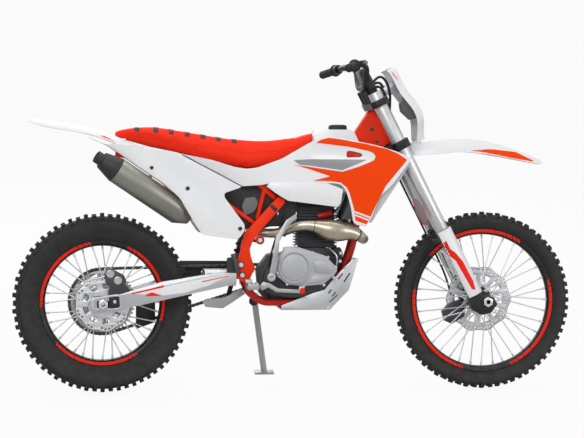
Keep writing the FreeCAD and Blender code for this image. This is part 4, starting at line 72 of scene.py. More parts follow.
# Camera, in the upright frame: a long lens from the machine's right side. FOCAL and PHOTO_WIDTH are in
# pixels of the photo, SENSOR in millimetres and FARTHEST in metres.

EYE = Vector((-226.2, -8837.7, 940.2))
AHEAD = Vector((0.10794, 0.99368, -0.030762)).normalized()
SWING = 0.1082
ACROSS = Vector((math.cos(SWING), -math.sin(SWING), 0))
FOCAL = 2294.3
PHOTO_WIDTH = 584
SENSOR = 36
FARTHEST = 60


def shown(item):
    """Put a new object into the scene."""
    bpy.context.scene.collection.objects.link(item)
    return item


def place_camera():
    data = bpy.data.cameras.new("PhotoCamera")
    camera = shown(bpy.data.objects.new("PhotoCamera", data))
    turn = Matrix((ACROSS, ACROSS.cross(AHEAD), -AHEAD)).transposed().to_4x4()
    placed = BIKE @ (Matrix.Translation(EYE) @ turn)
    camera.matrix_world = Matrix.Translation(placed.translation) @ placed.to_quaternion().to_matrix().to_4x4()
    data.sensor_width = SENSOR
    data.lens = SENSOR * FOCAL / PHOTO_WIDTH
    data.clip_end = FARTHEST
    bpy.context.scene.camera = camera


place_camera()


# Handling of objects

def clear():
    if bpy.context.object and bpy.context.object.mode != "OBJECT":
        bpy.ops.object.mode_set(mode="OBJECT")
    bpy.ops.object.select_all(action="DESELECT")


def take(*pieces):
    clear()
    for piece in pieces:
        piece.select_set(True)
    bpy.context.view_layer.objects.active = pieces[0]


def edit(mode="FACE"):
    bpy.ops.object.mode_set(mode="EDIT")
    bpy.ops.mesh.select_mode(type=mode)


def edit_all():
    """Work on the piece in hand with every point picked."""
    edit("VERT")
    bpy.ops.mesh.select_all(action="SELECT")


def leave():
    bpy.ops.object.mode_set(mode="OBJECT")


def named(name):
    piece = bpy.context.object
    piece.name = name
    piece.data.name = name
    return piece


def place(piece):
    """Put the object's own move and turn into its mesh."""
    take(piece)
    bpy.ops.object.transform_apply(location=True, rotation=True, scale=True)
    return piece


def apply(piece, kind, **values):
    take(piece)
    modifier = piece.modifiers.new(kind.title(), kind)
    for key, value in values.items():
        setattr(modifier, key, value)
    bpy.ops.object.modifier_apply(modifier=modifier.name)
    return piece


def bevel(piece, width, segments=2, angle=30):
    return apply(
        piece, "BEVEL", width=width, segments=segments, limit_method="ANGLE", angle_limit=math.radians(angle),
        use_clamp_overlap=True,
    )


def merge(piece, distance=0.01, outwards=True):
    take(piece)
    edit_all()
    bpy.ops.mesh.remove_doubles(threshold=distance)
    if outwards:
        bpy.ops.mesh.normals_make_consistent(inside=False)
    leave()
    return piece


def join(name, *pieces):
    take(*pieces)
    if len(pieces) > 1:
        bpy.ops.object.join()
    return named(name)


def copy_of(piece, matrix):
    """A copy with its own mesh, moved by a matrix."""
    copy = piece.copy()
    copy.data = piece.data.copy()
    copy.data.transform(matrix)
    return shown(copy)


def repeat(name, master, places):
    """Copies of one finished shape, joined into one piece."""
    copies = [copy_of(master, matrix) for matrix in places]
    bpy.data.objects.remove(master)
    return join(name, *copies)


def other_side(piece):
    """The piece and its mirror image across the machine, as one piece."""
    copy = copy_of(piece, Matrix.Scale(-1, 4, (0, 1, 0)))
    copy.data.flip_normals()
    return join(piece.name, piece, copy)


def fit(piece, body, base, finish, replaces=(), angle=35):
    """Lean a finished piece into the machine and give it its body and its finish."""
    piece.data.transform(base)
    take(piece)
    bpy.ops.object.shade_smooth_by_angle(angle=math.radians(angle))
    piece.data.materials.clear()
    piece.data.materials.append(FINISH[finish])
    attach(piece, body)
    if replaces:
        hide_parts(*replaces)
    return piece


def add(piece, where, finish, replaces=()):
    """Fit an upright piece: on both sides of the chassis, or once on the body that is named."""
    if where == "both":
        return fit(other_side(piece), "chassis", BIKE, finish, replaces, 30)
    return fit(piece, where, BIKE, finish, replaces)


# Shapes that several pieces start from

def polar(radius, angle):
    return radius * math.cos(angle), radius * math.sin(angle)


def circle(centre, radius, count, lobes=0, share=0.0, start=0.0):
    """A round outline, or a waved one that swells by a share of its radius at each lobe."""
    outline = []
    for step in range(count):
        angle = FULL_TURN * step / count + start
        across, up = polar(radius * (1 + share * math.cos(lobes * angle)), angle)
        outline.append((centre[0] + across, centre[1] + up))
    return outline


def turned(name, profile, steps):
    """A closed profile of radius and side, spun about the axle."""
    clear()
    bpy.ops.mesh.primitive_circle_add(vertices=len(profile), fill_type="NOTHING")
    piece = named(name)
    for vertex, (radius, side) in zip(piece.data.vertices, profile):
        vertex.co = (radius, side, 0)
    edit_all()
    bpy.ops.mesh.spin(steps=steps, angle=FULL_TURN, center=(0, 0, 0), axis=(0, 1, 0))
    leave()
    return merge(piece)


def softened(points, bend, steps):
    """An outline with each corner eased into a short curve."""
    eased = []
    count = len(points)
    for index in range(count):
        at = Vector(points[index])
        before = Vector(points[index - 1]) - at
        after = Vector(points[(index + 1) % count]) - at
        reach = min(bend, before.length * 0.45, after.length * 0.45)
        start = at + before.normalized() * reach
        end = at + after.normalized() * reach
        for step in range(steps + 1):
            share = step / steps
            eased.append(tuple(start.lerp(at, share).lerp(at.lerp(end, share), share)))
    return eased


def outlined(name, loops):
    """A plane curve, filled between its outlines."""
    clear()
    data = bpy.data.curves.new(name, "CURVE")
    data.dimensions = "2D"
    data.fill_mode = "BOTH"
    for loop in loops:
        spline = data.splines.new("POLY")
        spline.points.add(len(loop) - 1)
        spline.use_cyclic_u = True
        for point, (across, up) in zip(spline.points, loop):
            point.co = (across, up, 0, 1)
    return data


def meshed(name, data):
    """The mesh that a curve makes."""
    take(shown(bpy.data.objects.new(name, data)))
    bpy.ops.object.convert(target="MESH")
    return named(name)


def cut_sheet(name, loops, wall, edge, start):
    """A flat sheet cut to an outline, with any holes, standing fore and aft; it runs left from start."""
    data = outlined(name, loops)
    data.extrude = max(wall / 2 - edge, 0.01)
    data.bevel_depth = edge
    data.bevel_resolution = 1
    data.offset = -edge
    piece = meshed(name, data)
    piece.data.transform(Matrix.Translation((0, start + wall / 2, 0)) @ STANDING)
    return merge(piece)


def tube(name, points, widths, radius, bend, roundness):
    """A round tube along a smooth line through the points, with its width at each."""
    clear()
    data = bpy.data.curves.new(name, "CURVE")
    data.dimensions = "3D"
    data.bevel_depth = radius
    data.bevel_resolution = roundness
    data.resolution_u = bend
    data.use_fill_caps = True
    spline = data.splines.new("NURBS")
    spline.points.add(len(points) - 1)
    for point, at, width in zip(spline.points, points, widths):
        point.co = (*at, 1)
        point.radius = width
    spline.order_u = 3
    spline.use_endpoint_u = True
    return meshed(name, data)


def hose(name, points, radius, bend):
    return merge(tube(name, points, [1.0] * len(points), radius, bend, 3), radius * 0.002)


def ring(radius, wall, count, at, turn):
    clear()
    bpy.ops.mesh.primitive_torus_add(
        location=at, rotation=turn, major_radius=radius, minor_radius=wall, major_segments=count,
        minor_segments=8,
    )
    return place(bpy.context.object)


def pointing(direction):
    """A turn that takes the z axis to a direction."""
    return Vector((0, 0, 1)).rotation_difference(Vector(direction)).to_matrix().to_4x4()


UPWARD = 0.9


def pick_top(piece):
    """Work on the piece in hand with only its upward faces picked."""
    for face in piece.data.polygons:
        face.select = face.normal.z > UPWARD
    edit()


def bolt(radius, height):
    """A round bolt head with a recess in its top, on a wider round flange, standing on its seat along z."""
    clear()
    bpy.ops.mesh.primitive_cylinder_add(vertices=16, radius=radius * 1.3, depth=1.2, location=(0, 0, 0.6))
    piece = place(named("BoltHead"))
    edit()
    bpy.ops.mesh.select_all(action="DESELECT")
    leave()
    pick_top(piece)
    bpy.ops.mesh.inset(thickness=radius * 0.35)
    bpy.ops.mesh.extrude_region_move(TRANSFORM_OT_translate={"value": (0, 0, height)})
    bpy.ops.mesh.inset(thickness=radius * 0.3)
    bpy.ops.mesh.extrude_region_move(TRANSFORM_OT_translate={"value": (0, 0, -height * 0.5)})
    leave()
    return bevel(piece, 0.3, 1, 50)


def bolts(name, spots, radius, height):
    """Bolts at a list of places, each facing away from the machine's middle."""
    places = [Matrix.Translation(at) @ pointing((0, math.copysign(1, at[1]), 0)) for at in spots]
    return repeat(name, bolt(radius, height), places)


SAME_PLACE = 0.00002
SAME_PLANE = math.radians(3)


def rounded_copy(node, name, width):
    """A copy of a CAD piece, merged from loose triangles, with its sharp edges eased. Sizes in metres."""
    copy = copy_of(frame["nodes"][node], STILL)
    copy.parent = None
    copy.matrix_world = STILL
    for key in list(copy.keys()):
        del copy[key]
    copy.name = name
    copy.data.name = name
    copy.hide_render = False
    take(copy)
    if copy.data.has_custom_normals:
        bpy.ops.mesh.customdata_custom_splitnormals_clear()
    edit_all()
    bpy.ops.mesh.remove_doubles(threshold=SAME_PLACE)
    bpy.ops.mesh.dissolve_limited(angle_limit=SAME_PLANE)
    leave()
    return bevel(copy, width)


# Finishes. The effects that several share are groups with their own sockets.

def linear(red, green, blue):
    """A colour given as it looks on a screen, from 0 to 255."""
    share = [value / 255 for value in (red, green, blue)]
    return [value / 12.92 if value <= 0.04045 else ((value + 0.055) / 1.055) ** 2.4 for value in share] + [1]


def new_group(name, output, colours=(), **numbers):
    """A shader group that starts from a vector, with its own colour and number sockets and one output."""
    tree = bpy.data.node_groups.new(name, "ShaderNodeTree")
    tree.interface.new_socket("Vector", in_out="INPUT", socket_type="NodeSocketVector")
    for label in colours:
        tree.interface.new_socket(label, in_out="INPUT", socket_type="NodeSocketColor")
    for label, value in numbers.items():
        tree.interface.new_socket(label, in_out="INPUT", socket_type="NodeSocketFloat").default_value = value
    kind = "NodeSocketColor" if output == "Colour" else "NodeSocketFloat"
    tree.interface.new_socket(output, in_out="OUTPUT", socket_type=kind)
    return tree, tree.nodes.new("NodeGroupInput").outputs, tree.nodes.new("NodeGroupOutput").inputs[0]


def put(tree, value, socket):
    """Give a socket a value, or a link where the value is another node's output."""
    if hasattr(value, "is_output"):
        tree.links.new(value, socket)
    else:
        socket.default_value = value


def node(tree, kind, sockets=(), **settings):
    item = tree.nodes.new(kind)
    for key, value in settings.items():
        setattr(item, key, value)
    for key, value in dict(sockets).items():
        put(tree, value, item.inputs[key])
    return item


def noise(tree, vector, scale, detail=4.0, rough=0.55):
    sockets = {"Vector": vector, "Scale": scale, "Detail": detail, "Roughness": rough}
    return node(tree, "ShaderNodeTexNoise", sockets).outputs["Fac"]


def ramp(tree, value, low, high, bottom=0.0, top=1.0):
    """A value stretched so that low becomes the bottom and high becomes the top."""
    sockets = {"Value": value, "From Min": low, "From Max": high, "To Min": bottom, "To Max": top}
    return node(tree, "ShaderNodeMapRange", sockets).outputs["Result"]


def maths(tree, operation, first, second):
    item = node(tree, "ShaderNodeMath", {0: first, 1: second}, operation=operation, use_clamp=True)
    return item.outputs["Value"]


def blend_colours(tree, share, first, second):
    return node(tree, "ShaderNodeMix", {"Factor": share, 6: first, 7: second}, data_type="RGBA").outputs[2]


def tone_group():
    """Slow cloudy variation between a colour and its neighbour."""
    tree, given, out = new_group("ColourVariation", "Colour", ("Colour", "Neighbour"), Scale=6.0, Amount=0.5)
    cloud = ramp(tree, noise(tree, given["Vector"], given["Scale"], 5.0), 0.35, 0.68)
    share = maths(tree, "MULTIPLY", cloud, given["Amount"])
    tree.links.new(blend_colours(tree, share, given["Colour"], given["Neighbour"]), out)
    return tree


def scuff_group():
    """Fine scratches and rubbed spots, as a mask."""
    tree, given, out = new_group("ScuffMask", "Mask", Scale=60.0, Amount=0.3)
    sockets = {"Vector": given["Vector"], "Scale": (1.0, 1.0, 6.0), "Rotation": (0.2, 0.7, 0.4)}
    stretched = node(tree, "ShaderNodeMapping", sockets).outputs["Vector"]
    streaks = ramp(tree, noise(tree, stretched, given["Scale"], 7.0, 0.7), 0.62, 0.7)
    patches = ramp(tree, noise(tree, given["Vector"], 5.0, 3.0), 0.45, 0.7)
    both = maths(tree, "MULTIPLY", streaks, patches)
    tree.links.new(maths(tree, "MULTIPLY", both, given["Amount"]), out)
    return tree


def dust_group():
    """Road dust that thins out with height above the ground, as a mask."""
    tree, given, out = new_group("RoadDust", "Mask", Amount=0.3)
    height = node(tree, "ShaderNodeSeparateXYZ", {"Vector": given["Vector"]}).outputs["Z"]
    low = ramp(tree, height, 0.75, 0.0)
    speckle = ramp(tree, noise(tree, given["Vector"], 38.0, 8.0, 0.7), 0.42, 0.72)
    both = maths(tree, "MULTIPLY", low, speckle)
    tree.links.new(maths(tree, "MULTIPLY", both, given["Amount"]), out)
    return tree


def grain_group():
    """The small relief of a moulded, cast or sewn surface, as a height."""
    tree, given, out = new_group("SurfaceGrain", "Height", Scale=400.0, Stretch=1.0)
    pull = node(tree, "ShaderNodeCombineXYZ", {"X": 1.0, "Y": 1.0, "Z": given["Stretch"]}).outputs["Vector"]
    drawn = node(tree, "ShaderNodeVectorMath", {0: given["Vector"], 1: pull}, operation="MULTIPLY")
    tree.links.new(noise(tree, drawn.outputs["Vector"], given["Scale"], 3.0, 0.6), out)
    return tree


TONE = tone_group()
SCUFF = scuff_group()
DUST = dust_group()
GRAIN = grain_group()
SCUFF_SCALE = 60.0
GRAIN_HEIGHT = 0.0006
DUST_COLOUR = (150, 140, 125)


def grouped(tree, group, vector, **sockets):
    return node(tree, "ShaderNodeGroup", {"Vector": vector, **sockets}, node_tree=group).outputs[0]


def finish(
    name, colour, neighbour, rough=0.4, metal=0.0, cloud=6.0, amount=0.5, scuff=0.25, worn=(200, 200, 200),
    dust=0.0, grain=500.0, relief=0.1, stretch=1.0, coat=0.0, sheen=0.0, shine=0.5,
):
    """A painted, moulded, woven or bare surface, with its variation, scratches, dust and grain."""
    made = bpy.data.materials.new(name)
    made.use_nodes = True
    tree = made.node_tree
    vector = node(tree, "ShaderNodeTexCoord").outputs["Object"]
    colours = {"Colour": linear(*colour), "Neighbour": linear(*neighbour)}
    tone = grouped(tree, TONE, vector, Scale=cloud, Amount=amount, **colours)
    rubbed = grouped(tree, SCUFF, vector, Scale=SCUFF_SCALE, Amount=scuff)
    base = blend_colours(tree, rubbed, tone, linear(*worn))
    spread = ramp(tree, noise(tree, vector, cloud * 3), 0.2, 0.8)
    gloss = ramp(tree, spread, 0.0, 1.0, max(rough - 0.06, 0.03), min(rough + 0.1, 1.0))
    roughness = maths(tree, "ADD", gloss, maths(tree, "MULTIPLY", rubbed, 0.25))
    if dust:
        dirt = grouped(tree, DUST, vector, Amount=dust)
        base = blend_colours(tree, dirt, base, linear(*DUST_COLOUR))
        roughness = maths(tree, "ADD", roughness, maths(tree, "MULTIPLY", dirt, 0.4))
    height = grouped(tree, GRAIN, vector, Scale=grain, Stretch=stretch)
    bump = node(tree, "ShaderNodeBump", {"Strength": relief, "Distance": GRAIN_HEIGHT, "Height": height})
    for label, value in (
        ("Base Color", base), ("Roughness", roughness), ("Metallic", metal), ("Coat Weight", coat),
        ("Specular IOR Level", shine), ("Sheen Weight", sheen), ("Normal", bump.outputs["Normal"]),
    ):
        put(tree, value, tree.nodes["Principled BSDF"].inputs[label])
    return made


FINISH = {
    "frame_red": finish(
        "FramePaint", (255, 58, 20), (236, 44, 12), 0.4, cloud=5, coat=0.04, dust=0.05, relief=0.06, shine=0.15,
    ),
    "black_metal": finish(
        "BlackAnodised", (26, 26, 28), (38, 38, 41), 0.38, 0.4, scuff=0.2, worn=(120, 120, 122),
    ),
    "rim_black": finish("RimBlack", (20, 20, 21), (32, 32, 34), 0.28, 0.3, scuff=0.2, dust=0.15),
    "spoke_steel": finish("SpokeSteel", (214, 215, 218), (190, 192, 196), 0.3, 0.6, scuff=0.05, relief=0.03),
    "disc_steel": finish(
        "DiscSteel", (206, 207, 209), (182, 183, 186), 0.3, 0.8, grain=900, stretch=0.1, relief=0.12,
    ),
    "engine_black": finish(
        "EngineCoat", (50, 51, 54), (70, 71, 74), 0.5, 0.3, grain=1400, relief=0.3, dust=0.2,
    ),
    "cover_grey": finish(
        "CastCover", (176, 178, 182), (150, 152, 157), 0.42, 0.5, grain=1600, relief=0.2, dust=0.1,
    ),
    "alloy": finish(
        "BrushedAlloy", (192, 194, 197), (166, 168, 172), 0.34, 0.7, grain=700, stretch=0.15, relief=0.12,
    ),
    "fork_alloy": finish("ForkAlloy", (204, 205, 207), (182, 183, 186), 0.28, 0.7, scuff=0.04, relief=0.02),
    "slider_chrome": finish(
        "PolishedSteel", (212, 213, 215), (194, 195, 198), 0.16, 1.0, relief=0.02, scuff=0.03,
    ),
    "lever_steel": finish(
        "ForgedSteel", (178, 179, 181), (140, 141, 143), 0.36, 0.8, grain=900, relief=0.15, dust=0.1,
    ),
    "exhaust_metal": finish(
        "HeatedPipe", (186, 178, 160), (140, 131, 114), 0.26, 0.85, cloud=9, amount=0.9, relief=0.06,
    ),
    "muffler_metal": finish(
        "MufflerSkin", (142, 143, 134), (118, 119, 111), 0.34, 0.75, grain=900, stretch=0.08, relief=0.15,
    ),
    "white_plastic": finish(
        "WhitePlastic", (240, 241, 243), (226, 228, 232), 0.26, cloud=3, amount=0.3, scuff=0.12,
        worn=(190, 190, 192), coat=0.3, relief=0.04,
    ),
    "black_plastic": finish(
        "BlackPlastic", (28, 28, 30), (42, 42, 45), 0.55, scuff=0.15, worn=(90, 90, 92), grain=1500, relief=0.3,
    ),
    "seat_vinyl": finish(
        "SeatCover", (255, 54, 28), (238, 42, 18), 0.6, cloud=8, scuff=0.1, worn=(255, 100, 80), grain=1300,
        relief=0.4, sheen=0.05, shine=0.12,
    ),
    "pad_foam": finish("PadCover", (24, 24, 26), (40, 40, 43), 0.7, grain=1800, relief=0.6, sheen=0.3),
    "grip_rubber": finish("GripRubber", (22, 22, 23), (36, 36, 38), 0.72, grain=1600, relief=0.4),
    "caliper_grey": finish("CaliperPaint", (62, 63, 66), (84, 85, 88), 0.42, 0.4, grain=1400, relief=0.2),
    "chain_steel": finish("OiledChain", (96, 92, 84), (58, 54, 50), 0.4, 0.8, cloud=30, amount=0.9),
    "cradle_red": finish(
        "CradlePaint", (206, 34, 20), (160, 22, 14), 0.36, cloud=5, coat=0.05, dust=0.1, relief=0.06,
        shine=0.25,
    ),
    "carb_black": finish("CarburettorCast", (58, 59, 62), (84, 85, 88), 0.45, 0.5, grain=1500, relief=0.2),
    "radiator_alloy": finish(
        "RadiatorCore", (84, 85, 88), (60, 61, 64), 0.5, 0.5, grain=900, stretch=0.1, relief=0.3,
    ),
    "lamp_grey": finish("LampGrey", (112, 113, 116), (92, 93, 96), 0.45, grain=1500, relief=0.15),
    "lip_grey": finish("LipGrey", (205, 207, 210), (182, 184, 188), 0.35, relief=0.05),
    "exhaust_dark": finish("WeldTint", (120, 100, 74), (70, 62, 60), 0.35, 0.85, cloud=20, amount=0.9),
    "tyre_rubber": finish(
        "TyreRubber", (30, 30, 31), (46, 45, 44), 0.78, cloud=14, scuff=0.15, worn=(70, 70, 70), dust=0.1,
        grain=1100, relief=0.5,
    ),
    "orange_film": finish(
        "OrangeFilm", (255, 72, 0), (248, 62, 0), 0.42, cloud=4, scuff=0.08, worn=(255, 130, 90), relief=0.03,
        shine=0.12,
    ),
    "faded_film": finish("FadedFilm", (236, 168, 166), (224, 140, 140), 0.34, scuff=0.1, relief=0.03),
    "red_film": finish(
        "RedFilm", (245, 40, 20), (225, 30, 12), 0.42, shine=0.15, scuff=0.08, worn=(240, 120, 100),
        relief=0.03,
    ),
    "white_film": finish("WhiteFilm", (240, 240, 242), (226, 227, 230), 0.32, scuff=0.1, relief=0.03),
    "grey_film": finish("GreyFilm", (150, 152, 156), (128, 130, 134), 0.36, scuff=0.1, relief=0.03),
    "dark_film": finish("DarkFilm", (44, 44, 47), (60, 60, 63), 0.4, scuff=0.1, relief=0.03),
    "amber_lens": finish("AmberLens", (190, 60, 30), (150, 40, 20), 0.2, scuff=0.1, relief=0.05),
}
SLOT_OF = {facts["node"]: facts["material_slot"] for facts in frame["record"]["subparts"]}
for node_name, slot_name in SLOT_OF.items():
    materials = frame["nodes"][node_name].data.materials
    materials.clear()
    materials.append(FINISH[slot_name])


# Wheels

def on_wheel(wheel, piece, finish, part, angle):
    """Fit a piece to its wheel, in place of the wheel's part of that name if there is one."""
    name, base = wheel
    replaces = (name.lower() + "_" + part,) if part else ()
    return fit(piece, name.lower() + "_wheel", base, finish, replaces, angle)


def tyre_section(width, lug, rim_radius, rim_width):
    """The carcass from one bead over the crown to the other, as radius and side; lugs stand on its foot."""
    foot = TYRE_RADIUS - lug
    half = [
        (rim_radius - 11, rim_width / 2 - 3.4),
        (rim_radius + 1, rim_width / 2 - 3.4),
        (rim_radius + 5, rim_width / 2 + 1),
        (TYRE_RADIUS - width * 0.62, width * 0.40),
        (TYRE_RADIUS - width * 0.50, width * 0.455),
        (TYRE_RADIUS - width * 0.38, width * 0.47),
        (TYRE_RADIUS - width * 0.28, width * 0.455),
        (foot - width * 0.10, width * 0.41),
        (foot - width * 0.045, width * 0.31),
        (foot - width * 0.01, width * 0.17),
        (foot, 0),
    ]
    return half + [(radius, -side) for radius, side in half[-2::-1]]


def tread_lug(length, width, height):
    """A tread block that narrows to its top, standing along z with its top at nothing."""
    clear()
    bpy.ops.mesh.primitive_cube_add(size=1, location=(0, 0, -height / 2))
    piece = named("TreadLug")
    piece.scale = (length, width, height)
    place(piece)
    pick_top(piece)
    bpy.ops.transform.resize(value=(0.78, 0.84, 1))
    bpy.ops.mesh.inset(thickness=1.6, depth=-0.7)
    leave()
    return bevel(piece, 0.9, 1, 40)


def tread(width, height):
    """Lugs in turn: a pair in the middle, then pairs out to each shoulder, and short ribs below them."""
    kinds = (
        # places round the tyre, first and step, side, drop below the crown, tilt, length, breadth, height
        (68, 0, 2, 0.105, 0.022, 10.2, 22, 0.165, height + 4),
        (68, 1, 2, 0.30, 0.075, 22, 22, 0.17, height + 4),
        (68, 0, 2, 0.435, 0.165, 52, 20, 0.15, height + 4),
        (68, 1, 2, 0.455, 0.215, 60, 16, 0.13, height + 4),
        (136, 0, 1, 0.463, 0.31, 82, 4, 0.13, 2.4),
    )
    pieces = []
    for count, first, each, side, drop, tilt, length, breadth, tall in kinds:
        places = []
        for row in range(first, count, each):
            for hand in (RIGHT, LEFT):
                places.append(
                    Matrix.Rotation(FULL_TURN * row / count, 4, "Y")
                    @ Matrix.Translation((0, hand * width * side, TYRE_RADIUS - width * drop))
                    @ Matrix.Rotation(-hand * math.radians(tilt), 4, "X")
                )
        pieces.append(repeat("Lugs", tread_lug(length, width * breadth, tall), places))
    return pieces


def make_tyre(wheel, width, lug, rim_radius, rim_width):
    carcass = turned("Carcass", tyre_section(width, lug, rim_radius, rim_width), 96)
    whole = join(wheel[0] + "Tyre", carcass, *tread(width, lug))
    on_wheel(wheel, whole, "tyre_rubber", "tyre", 38)


RIM_FILMS = {"Front": (98, 212, 335), "Rear": (142, 262, 24)}
RIM_FILM_REACH = 41
RIM_FILM_BREAKS = (
    (0, 2.2), (3.2, 6.4), (7.4, 12.4), (13.2, 21.5), (22.2, 64), (64.7, 72.5), (73.3, 77), (78, 80.2),
    (81.2, 82.4),
)
FLANK_SLOPE = 0.93
FILM_SLANT = 0.014


def film_arc(low, high, start, end, hand, half):
    """One short strip of film on the rim's flank, its ends cut on the slant."""
    start, end = math.radians(start), math.radians(end)
    steps = max(1, round((end - start) / math.radians(3)))
    clear()
    bpy.ops.mesh.primitive_grid_add(x_subdivisions=steps, y_subdivisions=1, size=2)
    piece = named("Film")
    for index, vertex in enumerate(piece.data.vertices):
        along, up = index % (steps + 1), index // (steps + 1)
        angle = start + (end - start) * along / steps + (FILM_SLANT if up else -FILM_SLANT)
        across, rise = polar(high if up else low, angle)
        vertex.co = (across, hand * (half * (1.0 if up else FLANK_SLOPE) + 0.35), rise)
    if hand > 0:
        piece.data.flip_normals()
    return apply(piece, "SOLIDIFY", thickness=0.3, offset=1.0)


def make_rim(wheel, radius, inner, width):
    """The rim's flanged channel, with red films in three broken arcs on each side."""
    depth = radius - inner
    half = width / 2
    outside = [
        (radius, half), (radius - depth * 0.12, half), (radius - depth * 0.62, half * FLANK_SLOPE),
        (radius - depth * 0.84, half * 0.7), (inner, half * 0.28),
    ]
    inside = [(radius - 13, half * 0.5), (radius - 12, half - 3), (radius, half - 3)]
    profile = outside + [(r, -s) for r, s in reversed(inside + outside)] + inside
    channel = bevel(turned(wheel[0] + "Rim", profile, 96), 0.8, 1, 35)
    on_wheel(wheel, channel, "rim_black", "rim", 30)
    low = radius - depth * 0.6
    high = radius - depth * 0.08
    strips = []
    for hand in (RIGHT, LEFT):
        for centre in RIM_FILMS[wheel[0]]:
            first = centre - RIM_FILM_REACH
            for start, end in RIM_FILM_BREAKS:
                strips.append(film_arc(low, high, first + start, first + end, hand, half))
    on_wheel(wheel, join(wheel[0] + "RimFilm", *strips), "red_film", None, 30)


SPOKES = 36
SPOKE_RADIUS = 2.3
NIPPLE = 15


def around(radius, side, angle):
    return Vector((radius * math.sin(angle), side, -radius * math.cos(angle)))


def make_spokes(wheel, hub_radius, rim_inner, rim_width, spacing):
    """Crossed spokes with their nipples at the rim."""
    clear()
    bpy.ops.mesh.primitive_cylinder_add(vertices=8, radius=SPOKE_RADIUS, depth=1, location=(0, 0, 0.5))
    shaft = place(named("SpokeShaft"))
    places = []
    for index in range(SPOKES):
        side = LEFT if index % 2 == 0 else RIGHT
        lead = 1 if index % 4 < 2 else -1
        outer = FULL_TURN * index / SPOKES
        start = around(hub_radius - 2, side * (spacing / 2 + lead * 2.6), outer + lead * FULL_TURN * 0.11)
        end = around(rim_inner + 0.5, side * rim_width * 0.12, outer)
        run = end - start
        for radius, low in ((1.0, 0), (1.75, 1 - NIPPLE / run.length)):
            stretch = Matrix.Diagonal((radius, radius, run.length * (1 - low), 1))
            places.append(Matrix.Translation(start + run * low) @ pointing(run) @ stretch)
    on_wheel(wheel, repeat(wheel[0] + "Spokes", shaft, places), "spoke_steel", "spokes", 50)


# The disc's sizes in millimetres, with its holes as a turn and a share of the band's depth
DISC_WALL = 4
DISC_BAND = 30
DISC_CARRIER = 52
DISC_WAVE = 0.028
DISC_HOLES = ((-0.21, 0.46), (-0.07, 0.26), (0.07, 0.26), (0.21, 0.46))


def window(inner, outer, middle, half_inner, half_outer):
    """A four-cornered opening between two radii of a disc."""
    corners = (
        (inner, middle - half_inner), (outer, middle - half_outer), (outer, middle + half_outer),
        (inner, middle + half_inner),
    )
    return softened([polar(radius, angle) for radius, angle in corners], 5, 2)


def make_disc(wheel, radius, lobes, side):
    """A waved brake disc with drilled holes and open windows: bright faces on a darker core."""
    for name, trim, wall, finish_name, part in (
        ("Disc", 2.0, DISC_WALL, "disc_steel", "disc"), ("DiscEdge", 0.0, DISC_WALL - 1.2, "carb_black", None)
    ):
        loops = [
            circle((0, 0), (radius - trim) / (1 + DISC_WAVE), 120, lobes, DISC_WAVE),
            circle((0, 0), radius * 0.17 + 8 + trim, 32),
        ]
        for step in range(lobes):
            middle = FULL_TURN * step / lobes
            loops.append(window(DISC_CARRIER + 8 - trim, radius - DISC_BAND - 3 + trim, middle, 0.17, 0.21))
            for turn, depth in DISC_HOLES:
                spot = polar(radius - DISC_BAND * (0.12 + depth), middle + turn)
                loops.append(circle(spot, 3.2 + trim * 0.7, 10))
        sheet = cut_sheet(wheel[0] + name, loops, wall, 0.4, side - wall / 2)
        on_wheel(wheel, sheet, finish_name, part, 30)


HUB_SEAT = 50
FLANGE = 3.5
BOLT_CIRCLE = 42


def make_hub(wheel, radius, spacing, reach, axle):
    """The hub's barrel with its spoke flanges, and the seats for disc and sprocket."""
    half = spacing / 2
    step, seat_end = (HUB_SEAT, HUB_SEAT) if wheel is REAR else (radius * 0.6, radius * 0.55)
    profile = [
        (axle, reach), (HUB_SEAT, reach), (HUB_SEAT, reach - 6), (radius * 0.62, reach - 10),
        (radius * 0.6, half + 8), (radius, half + FLANGE), (radius, half - FLANGE), (radius * 0.66, half - 9),
        (radius * 0.58, 0), (radius * 0.66, 9 - half), (radius, FLANGE - half), (radius, -half - FLANGE),
        (radius * 0.6, -half - 8), (radius * 0.62, 10 - reach), (step, 6 - reach), (seat_end, -reach),
        (axle, -reach),
    ]
    on_wheel(wheel, bevel(turned(wheel[0] + "Hub", profile, 48), 1.0, 2, 35), "black_metal", "hub", 35)
    places = circle((0, 0), BOLT_CIRCLE, 6, start=0.26)
    spots = [(across, reach, up) for across, up in places]
    on_wheel(wheel, bolts(wheel[0] + "DiscBolts", spots, 4, 6), "slider_chrome", None, 35)


WHEELS = (
    # wheel; tyre's width and lugs; rim's radius, inner radius and width; hub's radius, flange spacing, half
    # length and bore; disc's radius, lobes and side
    (FRONT, (84, 13), (279, 257, 42), (36, 60, 62, 10.2), (130, 10, 64)),
    (REAR, (112, 15), (241, 219, 56), (44, 64, 57, 12.7), (110, 9, -68)),
)
for wheel_place, tyre_facts, (rim_outer, rim_inside, rim_across), hub_facts, disc_facts in WHEELS:
    make_tyre(wheel_place, *tyre_facts, rim_outer, rim_across)
    make_rim(wheel_place, rim_outer, rim_inside, rim_across)
    make_spokes(wheel_place, hub_facts[0], rim_inside, rim_across, hub_facts[1])
    make_disc(wheel_place, *disc_facts)
    make_hub(wheel_place, *hub_facts)


# The chain and its wheels

PITCH = 15.875
REAR_TEETH = 50
FRONT_TEETH = 13
CHAIN_SIDE = 74.5
DRIVE = Vector((640, 455))
DRIVEN = Vector((0, TYRE_RADIUS))
TOOTH = ((-0.5, -5.4), (-0.34, -4.4), (-0.14, 3.2), (0.14, 3.2), (0.34, -4.4))
LINK_RADIUS = 7.2
LINK_WAIST = 5.0
LINK_WALL = 1.8


def pitch_radius(teeth):
    return PITCH / (2 * math.sin(math.pi / teeth))


